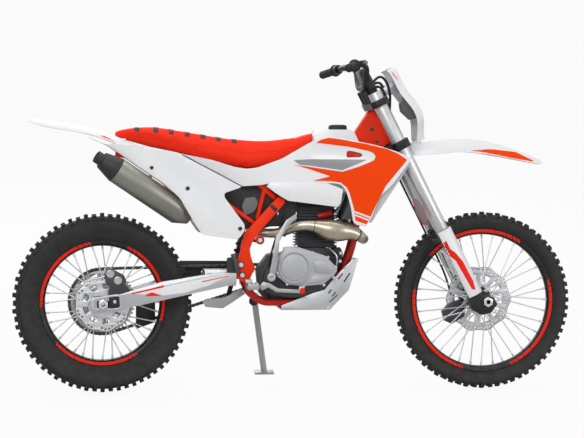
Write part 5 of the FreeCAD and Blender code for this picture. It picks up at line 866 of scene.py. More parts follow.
def make_sprocket():
    radius = pitch_radius(REAR_TEETH)
    rim = [
        polar(radius + reach, FULL_TURN * (tooth + turn) / REAR_TEETH)
        for tooth in range(REAR_TEETH) for turn, reach in TOOTH
    ]
    windows = [window(62, radius - 17, FULL_TURN * step / 6, 0.24, 0.36) for step in range(6)]
    piece = cut_sheet("RearSprocket", [rim, circle((0, 0), 36, 32), *windows], 5, 0.4, CHAIN_SIDE - 2.5)
    on_wheel(REAR, piece, "lever_steel", "sprocket", 30)


def link_plate(narrow):
    """The side plate of one link, round at both pins and waisted between them."""
    outline = []
    for centre, first in ((PITCH / 2, -60), (-PITCH / 2, 120)):
        for step in range(7):
            across, up = polar(LINK_RADIUS, math.radians(first + 20 * step))
            outline.append((centre + across, up))
        outline.append((0, math.copysign(LINK_WAIST, centre)))
    return cut_sheet("LinkPlate", [outline], LINK_WALL, 0.3, narrow)


def chain_points():
    """The pins along the chain: round the rear wheel, over the top run, round the front one and back."""
    big = pitch_radius(REAR_TEETH)
    small = pitch_radius(FRONT_TEETH)
    between = DRIVE - DRIVEN
    slope = math.atan2(between.y, between.x)
    lift = math.acos((big - small) / between.length)
    path = []
    for step in range(61):
        path.append(DRIVEN + Vector(polar(big, slope - lift - (FULL_TURN - 2 * lift) * step / 60)))
    for step in range(31):
        path.append(DRIVE + Vector(polar(small, slope + lift - 2 * lift * step / 30)))
    path.append(path[0])
    runs = [(end - start).length for start, end in zip(path, path[1:])]
    count = round(sum(runs) / PITCH / 2) * 2
    pins = []
    gone = 0.0
    index = 0
    for pin in range(count):
        reach = sum(runs) * pin / count
        while gone + runs[index] < reach:
            gone += runs[index]
            index += 1
        pins.append(path[index].lerp(path[index + 1], (reach - gone) / runs[index]))
    return pins


def make_chain():
    pins = chain_points()
    outer = []
    inner = []
    rollers = []
    for index, pin in enumerate(pins):
        ahead = pins[(index + 1) % len(pins)]
        middle = (pin + ahead) / 2
        angle = math.atan2(ahead.y - pin.y, ahead.x - pin.x)
        link = Matrix.Translation((middle.x, CHAIN_SIDE, middle.y)) @ Matrix.Rotation(-angle, 4, "Y")
        (outer if index % 2 else inner).append(link)
        rollers.append(Matrix.Translation((pin.x, CHAIN_SIDE, pin.y)) @ STANDING)
    pieces = []
    for places, near in ((outer, 6.2), (inner, 4.2)):
        for start in (near, -near - LINK_WALL):
            pieces.append(repeat("ChainPlates", link_plate(start), places))
    for radius, depth in ((2.6, 18.4), (5.0, 7.6)):
        clear()
        bpy.ops.mesh.primitive_cylinder_add(vertices=10, radius=radius, depth=depth)
        pieces.append(repeat("ChainPins", bevel(named("Pin"), 0.5, 1, 40), rollers))
    add(join("DriveChain", *pieces), "chassis", "chain_steel", ("chain",))


make_sprocket()
make_chain()


# Metal and moulded pieces that keep their CAD form, with eased edges

EASED = {
    # for each body its nodes, each with its edge in millimetres
    "chassis": (
        ("main_frame", 3), ("lower_cradle", 1.2), ("subframe", 0.8), ("crankcase", 3), ("clutch_cover", 2.2),
        ("cylinder_head", 1.2), ("cylinder", 0.8), ("carburettor", 1.5), ("airbox", 3), ("fuel_tank", 6),
        ("rear_fender", 1), ("radiators", 1), ("muffler", 3), ("muffler_cap", 2), ("skid_plate", 1.5),
        ("swingarm", 3), ("chain_guides", 1.2), ("rear_shock", 0.6), ("shock_linkage", 1.5), ("footpegs", 1.5),
        ("foot_levers", 2.5), ("rear_brake", 1.5), ("rear_axle", 0.8), ("stand_bracket", 1),
    ),
    "side_stand": (
        ("side_stand", 1.2),
    ),
    "fork": (
        ("triple_clamps", 2), ("fork_tubes", 1), ("fork_sliders", 0.8), ("fork_guards", 0.8),
        ("axle_clamps", 3), ("front_axle", 0.8), ("front_fender", 1), ("number_mask", 1), ("mask_bracket", 1),
        ("lamp_housing", 2), ("handlebar", 0.8), ("bar_controls", 1), ("front_brake", 1.5), ("brake_hose", 0.3),
    ),
}
OWN_FINISH = {
    "lower_cradle": "cradle_red", "carburettor": "carb_black", "radiators": "radiator_alloy",
    "muffler_cap": "black_plastic", "lamp_housing": "lamp_grey",
}
for body_name, eased_nodes in EASED.items():
    for node_name, edge in eased_nodes:
        slot_name = SLOT_OF[node_name]
        eased = rounded_copy(node_name, node_name.title().replace("_", ""), edge / 1000)
        fit(eased, body_name, STILL, OWN_FINISH.get(node_name, slot_name), (node_name,), 40)


# Sheets that lie fore and aft, bulged a little

def grid_cut(piece, step):
    """Straight cuts at even distances, so that a flat sheet can take a curve."""
    take(piece)
    for axis, normal in ((0, (1, 0, 0)), (2, (0, 0, 1))):
        spread = [vertex.co[axis] for vertex in piece.data.vertices]
        low, high = min(spread), max(spread)
        count = int((high - low) / step)
        for index in range(1, count + 1):
            at = [0, 0, 0]
            at[axis] = low + (high - low) * index / (count + 1)
            edit_all()
            bpy.ops.mesh.bisect(plane_co=at, plane_no=normal)
            leave()
    return piece


def sheet_on(name, loops, wall, surface, step, edge, lift=0.0):
    """A cut sheet whose outer face follows a surface on the machine's right."""
    piece = grid_cut(cut_sheet(name, loops, wall, edge, 0.0), step)
    for vertex in piece.data.vertices:
        vertex.co.y -= surface(vertex.co.x, vertex.co.z) + lift
    return piece


def films(name, outlines, surface, finish, lift=0.7, step=12):
    """Thin films on a surface, alike on both sides."""
    made = [sheet_on(name, [outline], 0.5, surface, step, 0.04, lift) for outline in outlines]
    add(join(name, *made), "both", finish)


def hump(value, middle, reach):
    return max(0.0, 1 - ((value - middle) / reach) ** 2)


# Each face gives how far it stands from the machine's middle at a place seen from the side

def shroud_face(x, z):
    swell = 8 * hump(x, 985, 230) * hump(z, 830, 230)
    crease = 5 * hump(x, 900, 150) * hump(z, 925 + (x - 900) * -0.08, 34)
    return 109 + 0.1944 * (x - 790) + swell - crease


def wing_face(x, z):
    return 88 + 0.045 * (x - 300) + 4 * hump(z, 860, 70) * hump(x, 640, 240)


def skin_face(x, z):
    """The wing's face at the back, blended into the shroud's at the front."""
    share = min(1.0, max(0.0, (x - 730) / 110))
    share = share * share * (3 - 2 * share)
    return wing_face(x, z) * (1 - share) + shroud_face(x, z) * share


def panel_face(x, z):
    swell = 7 * hump(x, 300, 330) * hump(z, 790, 240)
    fold = 4 * hump((x - 330) + 1.1 * (z - 800), 0, 70) * hump(z, 790, 190)
    return 96.5 + 0.0875 * (x + 56) + swell - fold


def from_shares(shares, x, z, length, height):
    return [(x + length * along, z + height * up) for along, up in shares]


SHROUD_OUTLINE = [
    (285, 923), (413, 897), (500, 870), (545, 862), (588, 866), (682, 900),
] + from_shares([
    (0.0, 0.93), (0.07, 0.97), (0.17, 1.0), (0.31, 0.98), (0.63, 0.905), (0.82, 0.84), (0.985, 0.765),
    (0.92, 0.66), (0.78, 0.45), (0.68, 0.35), (0.58, 0.07), (0.54, 0.0), (0.42, 0.04), (0.39, 0.24),
    (0.35, 0.4), (0.3, 0.47), (0.24, 0.485), (0.0, 0.485),
], 790, 638, 392, 348) + [(640, 806), (604, 800), (527, 795), (312, 909)]
VENT = [(929, 930), (944, 931), (982, 922), (990, 915), (982, 907), (929, 905)]
ORANGE_FIELD = [
    (814, 962), (831, 973), (861, 981), (900, 976), (995, 959), (1081, 938), (1120, 921), (1156, 897),
    (1075, 797), (1021, 685), (1004, 650), (962, 664), (957, 706), (940, 768), (928, 792), (905, 810),
    (866, 815), (801, 816), (867, 834), (793, 859), (753, 871), (724, 878), (791, 869), (913, 851),
    (976, 871), (1030, 894), (1038, 908), (1030, 922), (1012, 930), (939, 946), (883, 953),
]
GREY_STRIPE = [(727, 895), (793, 899), (926, 898), (1006, 897), (911, 857), (793, 874), (753, 877)]
LOW_STRIPES = (
    [(952, 703), (1017, 680), (1014, 673), (953, 696)],
    [(954, 691), (1012, 669), (1009, 663), (956, 684)],
)
NOSE_LIP = [(1176, 886), (1160, 865), (1042, 684), (1032, 666), (1020, 652), (1000, 690), (1120, 880)]
PANEL_OUTLINE = from_shares([
    (0.0, 1.0), (0.11, 0.925), (0.2, 0.93), (0.35, 0.91), (0.575, 0.84), (0.62, 0.795), (0.975, 0.51),
    (0.86, 0.45), (0.86, 0.41), (0.99, 0.14), (0.985, 0.08), (0.95, 0.0), (0.72, 0.045), (0.67, 0.16),
    (0.58, 0.4), (0.48, 0.54), (0.31, 0.715), (0.22, 0.81), (0.13, 0.91), (0.05, 0.96),
], -56, 594, 600, 392)

PANEL_BOLTS = ((185, 867), (321, 788), (520, 635))
# Where the side panel meets the shroud: the line of painted shadow in the gap between them
PANEL_SHADOW_LINE = ((300, 915), (318, 907), (370, 878), (422, 851), (474, 823), (524, 796))
FACING_SIDE = (math.pi / 2, 0, 0)
FACING_AHEAD = (0, math.pi / 2, 0)


def make_shrouds():
    loops = [softened(SHROUD_OUTLINE, 14, 3), softened(VENT, 6, 2)]
    shroud = sheet_on("TankShrouds", loops, 4, skin_face, 12, 1.0)
    add(shroud, "both", "white_plastic", ("tank_shrouds",))
    films("ShroudOrange", [softened(ORANGE_FIELD, 4, 2)], skin_face, "orange_film")
    films("ShroudGreyStripe", [softened(GREY_STRIPE, 4, 2)], skin_face, "grey_film")
    films("ShroudStripes", LOW_STRIPES, skin_face, "white_film", 1.0)
    grown = [(959 + (x - 959) * 1.25, 918 + (z - 918) * 1.5) for x, z in VENT]
    add(sheet_on("VentBacking", [grown], 1, skin_face, 40, 0.1, -9), "both", "cradle_red")
    lip = sheet_on("ShroudLip", [softened(NOSE_LIP, 5, 2)], 3, skin_face, 30, 0.5, -14)
    add(lip, "both", "lip_grey")


def make_panels():
    panel = sheet_on("SidePanels", [softened(PANEL_OUTLINE, 14, 3)], 4, panel_face, 26, 1.0)
    add(panel, "both", "white_plastic", ("side_panels",))
    spots = [(x, -panel_face(x, z), z) for x, z in PANEL_BOLTS]
    add(bolts("PanelBolts", spots, 5.5, 2.5), "both", "black_metal")
    rings = [ring(8.2, 1.3, 24, (x, y - 0.6, z), FACING_SIDE) for x, y, z in spots[1:]]
    add(join("BoltRings", *rings), "both", "lever_steel")
    # A black tube along the panel's join with the shroud: painted shadow in the gap between them
    panel_shadow_line = hose("PanelSeam", [(x, 1 - panel_face(x, z), z + 1) for x, z in PANEL_SHADOW_LINE], 2.2, 4)
    add(panel_shadow_line, "both", "black_plastic")


make_shrouds()
make_panels()


# Films and small fittings on the rear arm, frame, engine, guard plate, foot controls and fork leg

ARM_WHITE = [
    (113, 387), (231, 413), (369, 441), (478, 459), (478, 455), (400, 417), (312, 391), (225, 380),
    (185, 393), (160, 384),
]
ARM_REDS = (
    [(107, 389), (229, 420), (231, 412), (113, 386)],
    [(159, 383), (185, 393), (225, 380), (168, 378)],
    [(376, 434), (477, 455), (477, 452), (376, 430)],
)
GUARD_SLOTS = (
    [(899, 439), (917, 461), (921, 458), (904, 436)],
    [(921, 428), (944, 462), (949, 459), (926, 425)],
    [(861, 384), (872, 399), (877, 396), (866, 382)],
    [(877, 373), (890, 390), (894, 387), (881, 370)],
    [(866, 351), (897, 378), (900, 375), (869, 348)],
)
FLAT_FILMS = (
    # piece, outlines, side, lift, finish
    ("ArmWhite", [softened(ARM_WHITE, 3, 2)], 118, 0.3, "white_film"),
    ("ArmRed", ARM_REDS, 118, 0.7, "red_film"),
    ("GuardSlots", GUARD_SLOTS, 100, 0.3, "dark_film"),
)
SHEETS = (
    # piece, where, finish, slot if it isn't the finish, wall, edge, the side it runs left from, outlines
    ("AxleBlock", "both", "black_metal", None, 10, 1.2, -121, [
        softened([(22, 331), (22, 380), (60, 384), (64, 334)], 4, 2),
    ]),
    ("SlotRing", "both", "alloy", None, 4, 0.8, -121.5, [
        softened([(-44, 322), (-44, 372), (30, 384), (70, 388), (72, 330), (20, 322)], 20, 4),
        softened([(-34, 331), (-34, 364), (28, 376), (64, 380), (66, 336), (18, 331)], 14, 4),
    ]),
    ("SparBand", "both", "black_plastic", None, 24, 1.5, -105.5, [
        [(646, 727), (668, 708), (658, 697), (637, 718)],
    ]),
    ("SparTab", "both", "frame_red", None, 8, 1.0, -102, [
        circle((600, 589), 17, 24), circle((600, 589), 6, 12),
    ]),
    ("PivotGuard", "chassis", "black_plastic", None, 10, 2, -112, [
        softened([(471, 524), (503, 524), (508, 430), (486, 428), (472, 458)], 8, 2),
    ]),
    ("IntakeCover", "both", "black_plastic", None, 6, 1.5, -62, [softened([
        (470, 796), (640, 802), (745, 800), (748, 700), (732, 640), (640, 640), (590, 622), (520, 640),
        (440, 760),
    ], 10, 2)]),
    ("IntakeLid", "both", "lamp_grey", "black_plastic", 14, 4, -74, [
        softened([(543, 750), (585, 756), (597, 728), (580, 694), (543, 683), (531, 716)], 10, 3),
    ]),
    ("EngineMount", "both", "black_metal", None, 6, 1, -62, [
        softened([(850, 535), (913, 562), (926, 536), (912, 478), (863, 504)], 8, 2), circle((893, 528), 7, 14),
    ]),
    ("ValveCover", "chassis", "engine_black", None, 96, 4, -48, [
        softened([(756, 712), (890, 712), (880, 744), (768, 744)], 8, 3),
    ]),
    ("PedalTip", "chassis", "red_film", "lever_steel", 18, 2, -157, [
        softened([(746, 386), (766, 386), (766, 408), (749, 408)], 4, 2),
    ]),
    ("KickPivot", "chassis", "lever_steel", None, 10, 1.5, -172, [
        circle((637, 450), 16, 28), circle((637, 450), 5, 12),
    ]),
    ("Reflector", "fork", "lamp_grey", "white_plastic", 5, 1.5, -142, [
        softened([
            (1187, 745), (1199, 742), (1221, 714), (1241, 668), (1236, 651), (1226, 650), (1200, 692),
        ], 6, 3),
    ]),
    ("ReflectorRim", "fork", "amber_lens", "white_plastic", 5, 1.2, -140, [
        softened([
            (1183, 748), (1200, 746), (1225, 716), (1246, 668), (1240, 646), (1224, 646), (1196, 692),
        ], 6, 3),
    ]),
)
PIVOTS = ((527, 495), (532, 455), (600, 589))
BOLTS = (
    # piece, where, radius, height, side, places
    ("AdjusterBolts", "both", 5, 4, -121, ((44, 358),)),
    ("PivotBolts", "both", 7, 3, -103.2, PIVOTS),
    ("MountBolts", "both", 5, 3, -62, ((916, 536), (914, 505), (866, 520))),
    ("GuardBolts", "both", 5, 2.5, -100.2, ((862, 330), (842, 372), (930, 480))),
    ("CoverBolts", "chassis", 4.2, 5, -136, (
        (688, 560), (735, 566), (800, 541), (850, 516), (888, 487), (880, 446), (842, 418), (764, 412),
        (700, 422), (664, 466), (660, 514),
    )),
    ("StatorBolts", "chassis", 4.2, 4, 124, [
        (790 + across, 455 + up) for across, up in (polar(60, angle) for angle in (0.4, 1.6, 2.8, 4.0, 5.2))
    ]),
)
HOSES = (
    # piece, where, finish, slot if it isn't the finish, radius, bend, points
    ("PlugCap", "chassis", "cradle_red", "frame_red", 13, 4, (
        (829, -62, 678), (846, -66, 682), (862, -66, 688), (880, -64, 692),
    )),
    ("PlugLead", "chassis", "grip_rubber", None, 3.5, 8, (
        (880, -64, 692), (905, -60, 700), (912, -30, 740), (905, -10, 790),
    )),
    ("WaterHose", "both", "black_plastic", None, 11, 8, (
        (935, -60, 690), (930, -58, 664), (948, -56, 640), (962, -56, 618), (950, -60, 585),
    )),
    ("UpperHose", "both", "black_plastic", None, 10, 8, (
        (925, -70, 850), (880, -60, 800), (860, -40, 760), (850, -20, 730),
    )),
    ("Breather", "chassis", "grip_rubber", None, 4, 8, (
        (700, -58, 700), (690, -66, 660), (664, -70, 600), (640, -78, 520), (628, -80, 430),
        (640, -60, 360),
    )),
    ("OilLine", "chassis", "slider_chrome", None, 4.5, 8, (
        (866, -70, 560), (884, -92, 545), (900, -96, 520), (896, -90, 494),
    )),
)


def make_fittings():
    for name, outlines, side, lift, finish_name in FLAT_FILMS:
        films(name, outlines, lambda x, z: side, finish_name, lift, 200)
    for name, where, finish_name, slot, wall, edge, side, loops in SHEETS:
        add(cut_sheet(name, loops, wall, edge, side), where, finish_name)
    for name, where, radius, height, side, spots in BOLTS:
        add(bolts(name, [(x, side, z) for x, z in spots], radius, height), where, "slider_chrome")
    for name, where, finish_name, slot, radius, bend, points in HOSES:
        add(hose(name, points, radius, bend), where, finish_name)
    rings = [ring(11, 1.8, 24, (x, -103.6, z), FACING_SIDE) for x, z in PIVOTS]
    add(join("PivotRings", *rings), "both", "black_plastic")
    bands = [ring(25, 2.4, 32, (x, -36, 688), FACING_AHEAD) for x in (672, 744)]
    add(join("IntakeBands", *bands), "chassis", "slider_chrome")


PIPE = (
    # x, y, z, radius along the exhaust from the cylinder to the silencer
    (903, -25, 648, 19), (938, -26, 644, 19), (980, -42, 618, 19.5), (1003, -68, 592, 20),
    (1000, -100, 592, 20), (976, -116, 606, 21), (948, -120, 618, 27), (915, -121, 622, 38),
    (886, -121, 624, 42), (855, -121, 630, 40), (828, -120, 638, 31), (806, -119, 643, 24),
    (780, -117, 646, 21), (748, -113, 644, 20), (716, -104, 634, 20), (690, -92, 622, 19),
    (664, -80, 614, 18), (620, -60, 615, 17), (560, -54, 620, 17), (470, -52, 622, 17), (420, -56, 640, 17),
    (392, -62, 656, 17), (350, -69, 672, 18),
)
PIPE_WELDS = ((1, 1.25), (5, 1.06), (11, 1.08), (15, 1.08), (20, 1.12))


def make_exhaust():
    pipe = merge(tube("ExhaustHeader", [row[:3] for row in PIPE], [row[3] for row in PIPE], 1.0, 5, 8))
    fit(pipe, "chassis", BIKE, "exhaust_metal", ("exhaust_header",), 50)
    rings = []
    for index, wide in PIPE_WELDS:
        x, y, z, radius = PIPE[index]
        run = Vector(PIPE[index + 1][:3]) - Vector(PIPE[index - 1][:3])
        rings.append(ring(radius * wide, 1.5, 40, (x, y, z), tuple(pointing(run).to_euler())))
    add(join("ExhaustWelds", *rings), "chassis", "exhaust_dark")


def make_peg_teeth():
    clear()
    teeth = []
    for side in range(5):
        for end in range(3):
            at = (551 + end * 15, -128 - side * 16, 428)
            bpy.ops.mesh.primitive_cone_add(vertices=8, radius1=4.2, radius2=2.0, depth=7, location=at)
            teeth.append(place(bpy.context.object))
    add(join("PegTeeth", *teeth), "both", "lever_steel")


make_fittings()
make_exhaust()
make_peg_teeth()


# Fittings at the bars, fork, tank and rear brake

GRIP_END = (-64.6, 404, 1054)
GRIP_START = (0, 214.1, 1046.7)
GRIP_RIBS = 22
GRIP_PITCH = 5.1


def make_grips():
    """Ribbed grips, each with a flange at its inner end."""
    profile = [(11.3, 1), (14.5, 0), (16, 2)]
    for rib in range(GRIP_RIBS):
        at = 5 + rib * GRIP_PITCH
        profile += [(16, at), (16, at + 2.6), (14.9, at + 3.2), (14.9, at + 4.6)]
    profile += [(16, 118), (23, 121), (24, 124), (22, 127.4), (11.3, 127.4)]
    pieces = []
    for side in (RIGHT, LEFT):
        end = Vector((GRIP_END[0], side * GRIP_END[1], GRIP_END[2]))
        inward = Vector((GRIP_START[0], side * GRIP_START[1], GRIP_START[2])) - end
        grip = turned("Grips", profile, 32)
        turn = Vector((0, 1, 0)).rotation_difference(inward).to_matrix().to_4x4()
        grip.data.transform(Matrix.Translation(end) @ turn)
        pieces.append(grip)
    fit(join("Grips", *pieces), "fork", FORK, "grip_rubber", ("grips",), 30)


CABLE_ROUTES = (
    (
        (1040, -40, 1190), (1062, -42, 1220), (1090, -44, 1212), (1112, -40, 1160), (1112, -30, 1100),
        (1110, -20, 1040), (1128, -16, 1000),
    ),
    (
        (1044, 20, 1180), (1070, 28, 1204), (1098, 30, 1180), (1104, 28, 1120), (1112, 20, 1060),
        (1140, 10, 1000),
    ),
    (
        (1040, -56, 1170), (1064, -60, 1186), (1092, -56, 1150), (1096, -46, 1090), (1112, -36, 1030),
        (1144, -24, 985),
    ),
    (
        (1046, 50, 1170), (1076, 54, 1190), (1104, 46, 1160), (1112, 30, 1110), (1124, 10, 1060),
        (1150, 0, 1000),
    ),
)
HOSE_END = Vector((38, 228.1, 1002))
HOSE_RADIUS = 4.0


def make_cables():
    """Four control cables that loop down behind the mask, and the last stretch of the front brake hose."""
    cables = [hose("Cables", points, 5.2, 8) for points in CABLE_ROUTES]
    fit(join("Cables", *cables), "fork", BIKE, "grip_rubber", (), 60)
    points = [HOSE_END - Vector((0, 2, 5)), HOSE_END + Vector((2, 4, 14)), (34, 262, 1034), (8, 264, 1046)]
    fit(hose("HoseLead", points, HOSE_RADIUS, 8), "fork", FORK, "grip_rubber", (), 60)
    union = bolt(7, 8)
    union.data.transform(Matrix.Translation((2, 264, 1047)) @ pointing((1, 0, -0.1)))
    union.name = "HoseUnion"
    fit(union, "fork", FORK, "black_metal")


SEAL_HEIGHT = 290
FORK_SIDE = 105
CAP_PLACE = Matrix.Translation((912, 0, 1012.5))
COLLAR_PLACE = Matrix.Translation((912, 0, 1006))
CAP_RIBS = 24


def make_fork_seals():
    for side in (RIGHT, LEFT):
        seal = turned("ForkSeal", [(23.2, 0), (27.5, 1), (28.5, 6), (28.5, 14), (27, 18), (23.2, 19)], 40)
        seal.data.transform(Matrix.Translation((0, side * FORK_SIDE, SEAL_HEIGHT)) @ STANDING)
        fit(seal, "fork", FORK, "black_plastic")


def make_cap():
    cap = turned("TankCap", [(33, 0), (34, 3), (34, 14), (31, 18), (20, 19.5), (0.3, 20), (0.3, 0)], 48)
    cap.data.transform(CAP_PLACE @ STANDING)
    add(cap, "chassis", "black_plastic", ("tank_cap",))
    clear()
    bpy.ops.mesh.primitive_cylinder_add(vertices=6, radius=1.8, depth=11, location=(34.2, 0, 8.5))
    places = [CAP_PLACE @ Matrix.Rotation(FULL_TURN * step / CAP_RIBS, 4, "Z") for step in range(CAP_RIBS)]
    add(repeat("CapRibs", place(bpy.context.object), places), "chassis", "black_plastic")
    collar = turned("CapCollar", [(42, 0), (43, 3), (40, 8), (34.5, 9), (34.5, 0)], 48)
    collar.data.transform(COLLAR_PLACE @ STANDING)
    add(collar, "chassis", "lamp_grey")


def make_brake_caps():
    """Round piston caps on the rear caliper's outer face."""
    towards = (BIKE.to_3x3() @ Vector((0, 1, 0))).normalized()
    caps = []
    for x, z in ((28, 462), (57, 437)):
        hit, at, normal, index = bpy.data.objects["RearBrake"].ray_cast(BIKE @ Vector((x, -260, z)), towards)
        if hit:
            cap = turned("CaliperCaps", [(0.3, 0), (15, 0), (15, -2), (12, -3), (10, -1.6), (0.3, -1.6)], 32)
            cap.data.transform(Matrix.Translation(BIKE.inverted() @ at + Vector((0, 0.4, 0))))
            caps.append(cap)
    add(join("CaliperCaps", *caps), "chassis", "lever_steel")


make_grips()
make_cables()
make_fork_seals()
make_cap()
make_brake_caps()


# Films on curved pieces, drawn on to them from the side

GUARD_STRIPE = [
    (1298, 580), (1312, 566), (1350, 540), (1380, 506), (1420, 432), (1430, 396), (1416, 398), (1374, 470),
    (1352, 508), (1330, 526), (1302, 548),
]
NOSE_ORANGE = [
    (1421, 932), (1462, 934), (1487, 937), (1518, 936), (1605, 926), (1677, 892), (1672, 889), (1580, 904),
    (1503, 920), (1456, 928),
]
MASK_FADED = [(1109, 1237), (1120, 1234), (1142, 1200), (1130, 1208), (1114, 1224)]
TAIL_ORANGE = [(-9, 990), (8, 987), (49, 966), (13, 979)]
FILM_LIFT = 0.0007
FILM_WALL = 0.0004
LAID_FILMS = (
    # piece, outline, side it starts from, piece under it, finish, slot, body, distance between cuts
    ("GuardStripe", softened(GUARD_STRIPE, 3, 2), 190, "ForkGuards", "red_film", "white_plastic", "fork", 6),
    ("NoseOrange", softened(NOSE_ORANGE, 2, 2), 160, "FrontFender", "orange_film", "white_plastic", "fork", 10),
    ("MaskFaded", MASK_FADED, 190, "NumberMask", "faded_film", "white_plastic", "fork", 10),
    ("TailOrange", TAIL_ORANGE, 160, "RearFender", "orange_film", "white_plastic", "chassis", 10),
    ("GussetMark0", circle((1043, 1014), 8, 18), 120, "MainFrame", "dark_film", "frame_red", "chassis", 20),
    ("GussetMark1", circle((1062, 966), 6, 18), 120, "MainFrame", "dark_film", "frame_red", "chassis", 20),
)


def closest(piece, at):
    """The nearest place on a piece, with the direction that its surface faces there."""
    return piece.closest_point_on_mesh(at)[1:3]


def laid_film(name, outline, start, target, step):
    """A thin film of a given outline on both sides of a finished piece."""
    pieces = []
    for side in (RIGHT, LEFT):
        piece = meshed(name, outlined(name, [outline]))
        piece.data.transform(Matrix.Translation((0, side * start, 0)) @ STANDING)
        grid_cut(merge(piece, outwards=False), step)
        piece.data.transform(BIKE)
        towards = (BIKE.to_3x3() @ Vector((0, -side, 0))).normalized()
        for vertex in piece.data.vertices:
            hit, at, normal, index = target.ray_cast(vertex.co, towards)
            if not hit:
                at, normal = closest(target, vertex.co)
            vertex.co = at - towards * FILM_LIFT
        if side == RIGHT:
            piece.data.flip_normals()
        pieces.append(merge(apply(piece, "SOLIDIFY", thickness=FILM_WALL, offset=0), 0.000001))
    return join(name, *pieces)


for film_name, film_outline, film_side, under, film_finish, film_slot, film_body, cut_step in LAID_FILMS:
    film = laid_film(film_name, film_outline, film_side, bpy.data.objects[under], cut_step)
    fit(film, film_body, STILL, film_finish)


# Padded seat and bar pad

CLOTH = {
    "quality": 4, "mass": 0.3, "tension_stiffness": 25, "compression_stiffness": 25, "shear_stiffness": 10,
    "bending_stiffness": 2, "use_pressure": True, "uniform_pressure_force": 4.0,
}
CLOTH_FRAMES = 20


def stuffed(node_name, piece_name, body, voxel, farthest, finish):
    """The CAD pad filled out by air, as a sewn cover over foam, no more than a set distance from its form."""
    source = rounded_copy(node_name, piece_name, 0.004)
    apply(source, "REMESH", mode="VOXEL", voxel_size=voxel)
    rest = [vertex.co.copy() for vertex in source.data.vertices]
    take(source)
    modifier = source.modifiers.new("Cloth", "CLOTH")
    for key, value in CLOTH.items():
        setattr(modifier.settings, key, value)
    modifier.settings.effector_weights.gravity = 0
    modifier.point_cache.frame_end = CLOTH_FRAMES
    for number in range(1, CLOTH_FRAMES + 1):
        bpy.context.scene.frame_set(number)
    shaped = source.evaluated_get(bpy.context.evaluated_depsgraph_get())
    moved = [vertex.co.copy() for vertex in shaped.data.vertices]
    source.modifiers.remove(modifier)
    bpy.context.scene.frame_set(1)
    for vertex, start, end in zip(source.data.vertices, rest, moved):
        step = end - start
        vertex.co = start + step * min(1.0, farthest / max(step.length, 1e-9))
    apply(source, "SMOOTH", factor=0.5, iterations=3)
    apply(source, "SUBSURF", levels=1)
    piece = fit(source, body, STILL, finish, (node_name,), 60)
    return piece


SEAT_LINE = ((49, 1001), (71, 1013), (274, 996), (529, 965), (643, 962), (729, 976), (809, 1002))
SEAT_RIBS = (132, 204, 263, 324, 385, 445, 505)
RIB_HALF = 9
RIB_REACH = 64
SEAM_ROWS = (
    # shares of the seat's length, height and half width
    (0.0, 0.80, 0.3), (0.1, 0.84, 0.42), (0.35, 0.66, 0.5), (0.62, 0.42, 0.5), (0.82, 0.46, 0.42),
    (0.97, 0.76, 0.3),
)
SEAM_STEPS = 6
SEAM_LIFT = 0.0003


def seat_top(x):
    for (start, low), (end, high) in zip(SEAT_LINE, SEAT_LINE[1:]):
        if x <= end:
            return low + (high - low) * (x - start) / (end - start)
    return SEAT_LINE[-1][1]


def seat_rib(seat, x):
    """A strip across the seat, drawn on to its cover."""
    clear()
    bpy.ops.mesh.primitive_grid_add(x_subdivisions=4, y_subdivisions=34, size=2)
    piece = named("SeatRib")
    low, high = seat_top(x - RIB_HALF), seat_top(x + RIB_HALF)
    for vertex in piece.data.vertices:
        along, across = vertex.co.x, vertex.co.y
        place_above = Vector((x + RIB_HALF * along, RIB_REACH * across, low + (high - low) * (along + 1) / 2))
        at, normal = closest(seat, BIKE @ place_above)
        vertex.co = at + normal * 0.0006
    return apply(piece, "SOLIDIFY", thickness=0.001, offset=1.0)


def seat_seam(seat, side):
    """A sewn edge along one flank of the seat."""
    points = []
    for first, second in zip(SEAM_ROWS, SEAM_ROWS[1:]):
        for step in range(SEAM_STEPS):
            along, up, half = Vector(first).lerp(Vector(second), step / SEAM_STEPS)
            at, normal = closest(seat, BIKE @ Vector((48 + 782 * along, side * 148 * half, 860 + 158 * up)))
            points.append(at + normal * SEAM_LIFT)
    return hose("SeatSeam", points, 0.0013, 3)


def make_seat():
    seat = stuffed("seat", "Seat", "chassis", 0.006, 0.007, "seat_vinyl")
    stuffed("bar_pad", "BarPad", "fork", 0.005, 0.005, "pad_foam")
    ribs = join("SeatRibs", *[seat_rib(seat, x) for x in SEAT_RIBS])
    fit(ribs, "chassis", STILL, "black_plastic")
    seams = join("SeatSeams", *[seat_seam(seat, side) for side in (RIGHT, LEFT)])
    fit(seams, "chassis", STILL, "seat_vinyl")


make_seat()


# Stage and light

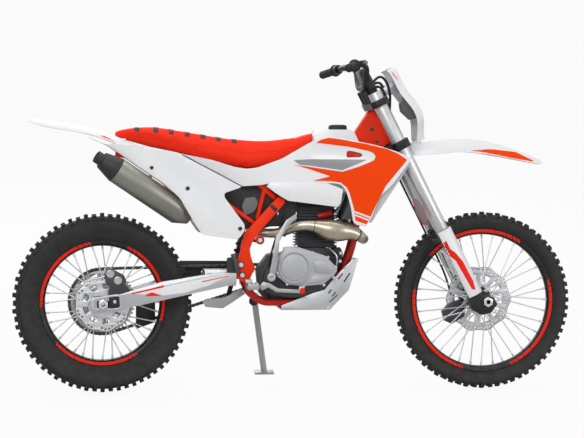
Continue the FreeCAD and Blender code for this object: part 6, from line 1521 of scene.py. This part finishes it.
def make_stage():
    """A pale floor that glows a little to the camera, so that it meets the white world without a line."""
    clear()
    bpy.ops.mesh.primitive_plane_add(size=40, location=(0, 0, -0.0005))
    floor = named("StudioFloor")
    made = bpy.data.materials.new("PaleFloor")
    made.use_nodes = True
    tree = made.node_tree
    shader = tree.nodes["Principled BSDF"]
    shader.inputs["Base Color"].default_value = linear(222, 222, 222)
    shader.inputs["Roughness"].default_value = 0.9
    glow = node(tree, "ShaderNodeEmission", {"Strength": 1.0}).outputs["Emission"]
    share = maths(tree, "MULTIPLY", node(tree, "ShaderNodeLightPath").outputs["Is Camera Ray"], 0.93)
    mixed = node(tree, "ShaderNodeMixShader", {"Fac": share, 1: shader.outputs["BSDF"], 2: glow})
    tree.links.new(mixed.outputs["Shader"], tree.nodes["Material Output"].inputs["Surface"])
    floor.data.materials.append(made)


def make_world():
    """White to the camera and in reflections, dimmer as light."""
    world = bpy.data.worlds.new("StudioWorld")
    bpy.context.scene.world = world
    world.use_nodes = True
    tree = world.node_tree
    background = tree.nodes["Background"]
    background.inputs["Color"].default_value = (1, 1, 1, 1)
    path = node(tree, "ShaderNodeLightPath").outputs
    seen = maths(tree, "MAXIMUM", path["Is Camera Ray"], path["Is Glossy Ray"])
    seen = maths(tree, "MAXIMUM", seen, path["Is Transmission Ray"])
    tree.links.new(ramp(tree, seen, 0.0, 1.0, 0.42, 1.0), background.inputs["Strength"])


LAMPS = (
    # name, place, what it faces, breadth and height, power
    ("KeyLight", (-1.5, -3.6, 3.4), (0, 0, 0.5), (3.0, 2.0), 70),
    ("FillLight", (3.2, -2.6, 1.8), (0, 0, 0.6), (2.0, 2.0), 30),
    ("TopLight", (0, 0.6, 3.8), (0, 0, 0.4), (3.0, 2.0), 40),
    ("BackLight", (-1.0, 3.8, 2.4), (0, 0, 0.6), (3.0, 1.5), 45),
)


def make_lamp(name, at, towards, size, power):
    data = bpy.data.lights.new(name, "AREA")
    data.shape = "RECTANGLE"
    data.size, data.size_y = size
    data.energy = power
    item = shown(bpy.data.objects.new(name, data))
    item.location = at
    item.rotation_euler = (Vector(towards) - Vector(at)).to_track_quat("-Z", "Y").to_euler()


make_stage()
make_world()
for lamp_facts in LAMPS:
    make_lamp(*lamp_facts)
bpy.context.scene.view_settings.view_transform = "Standard"
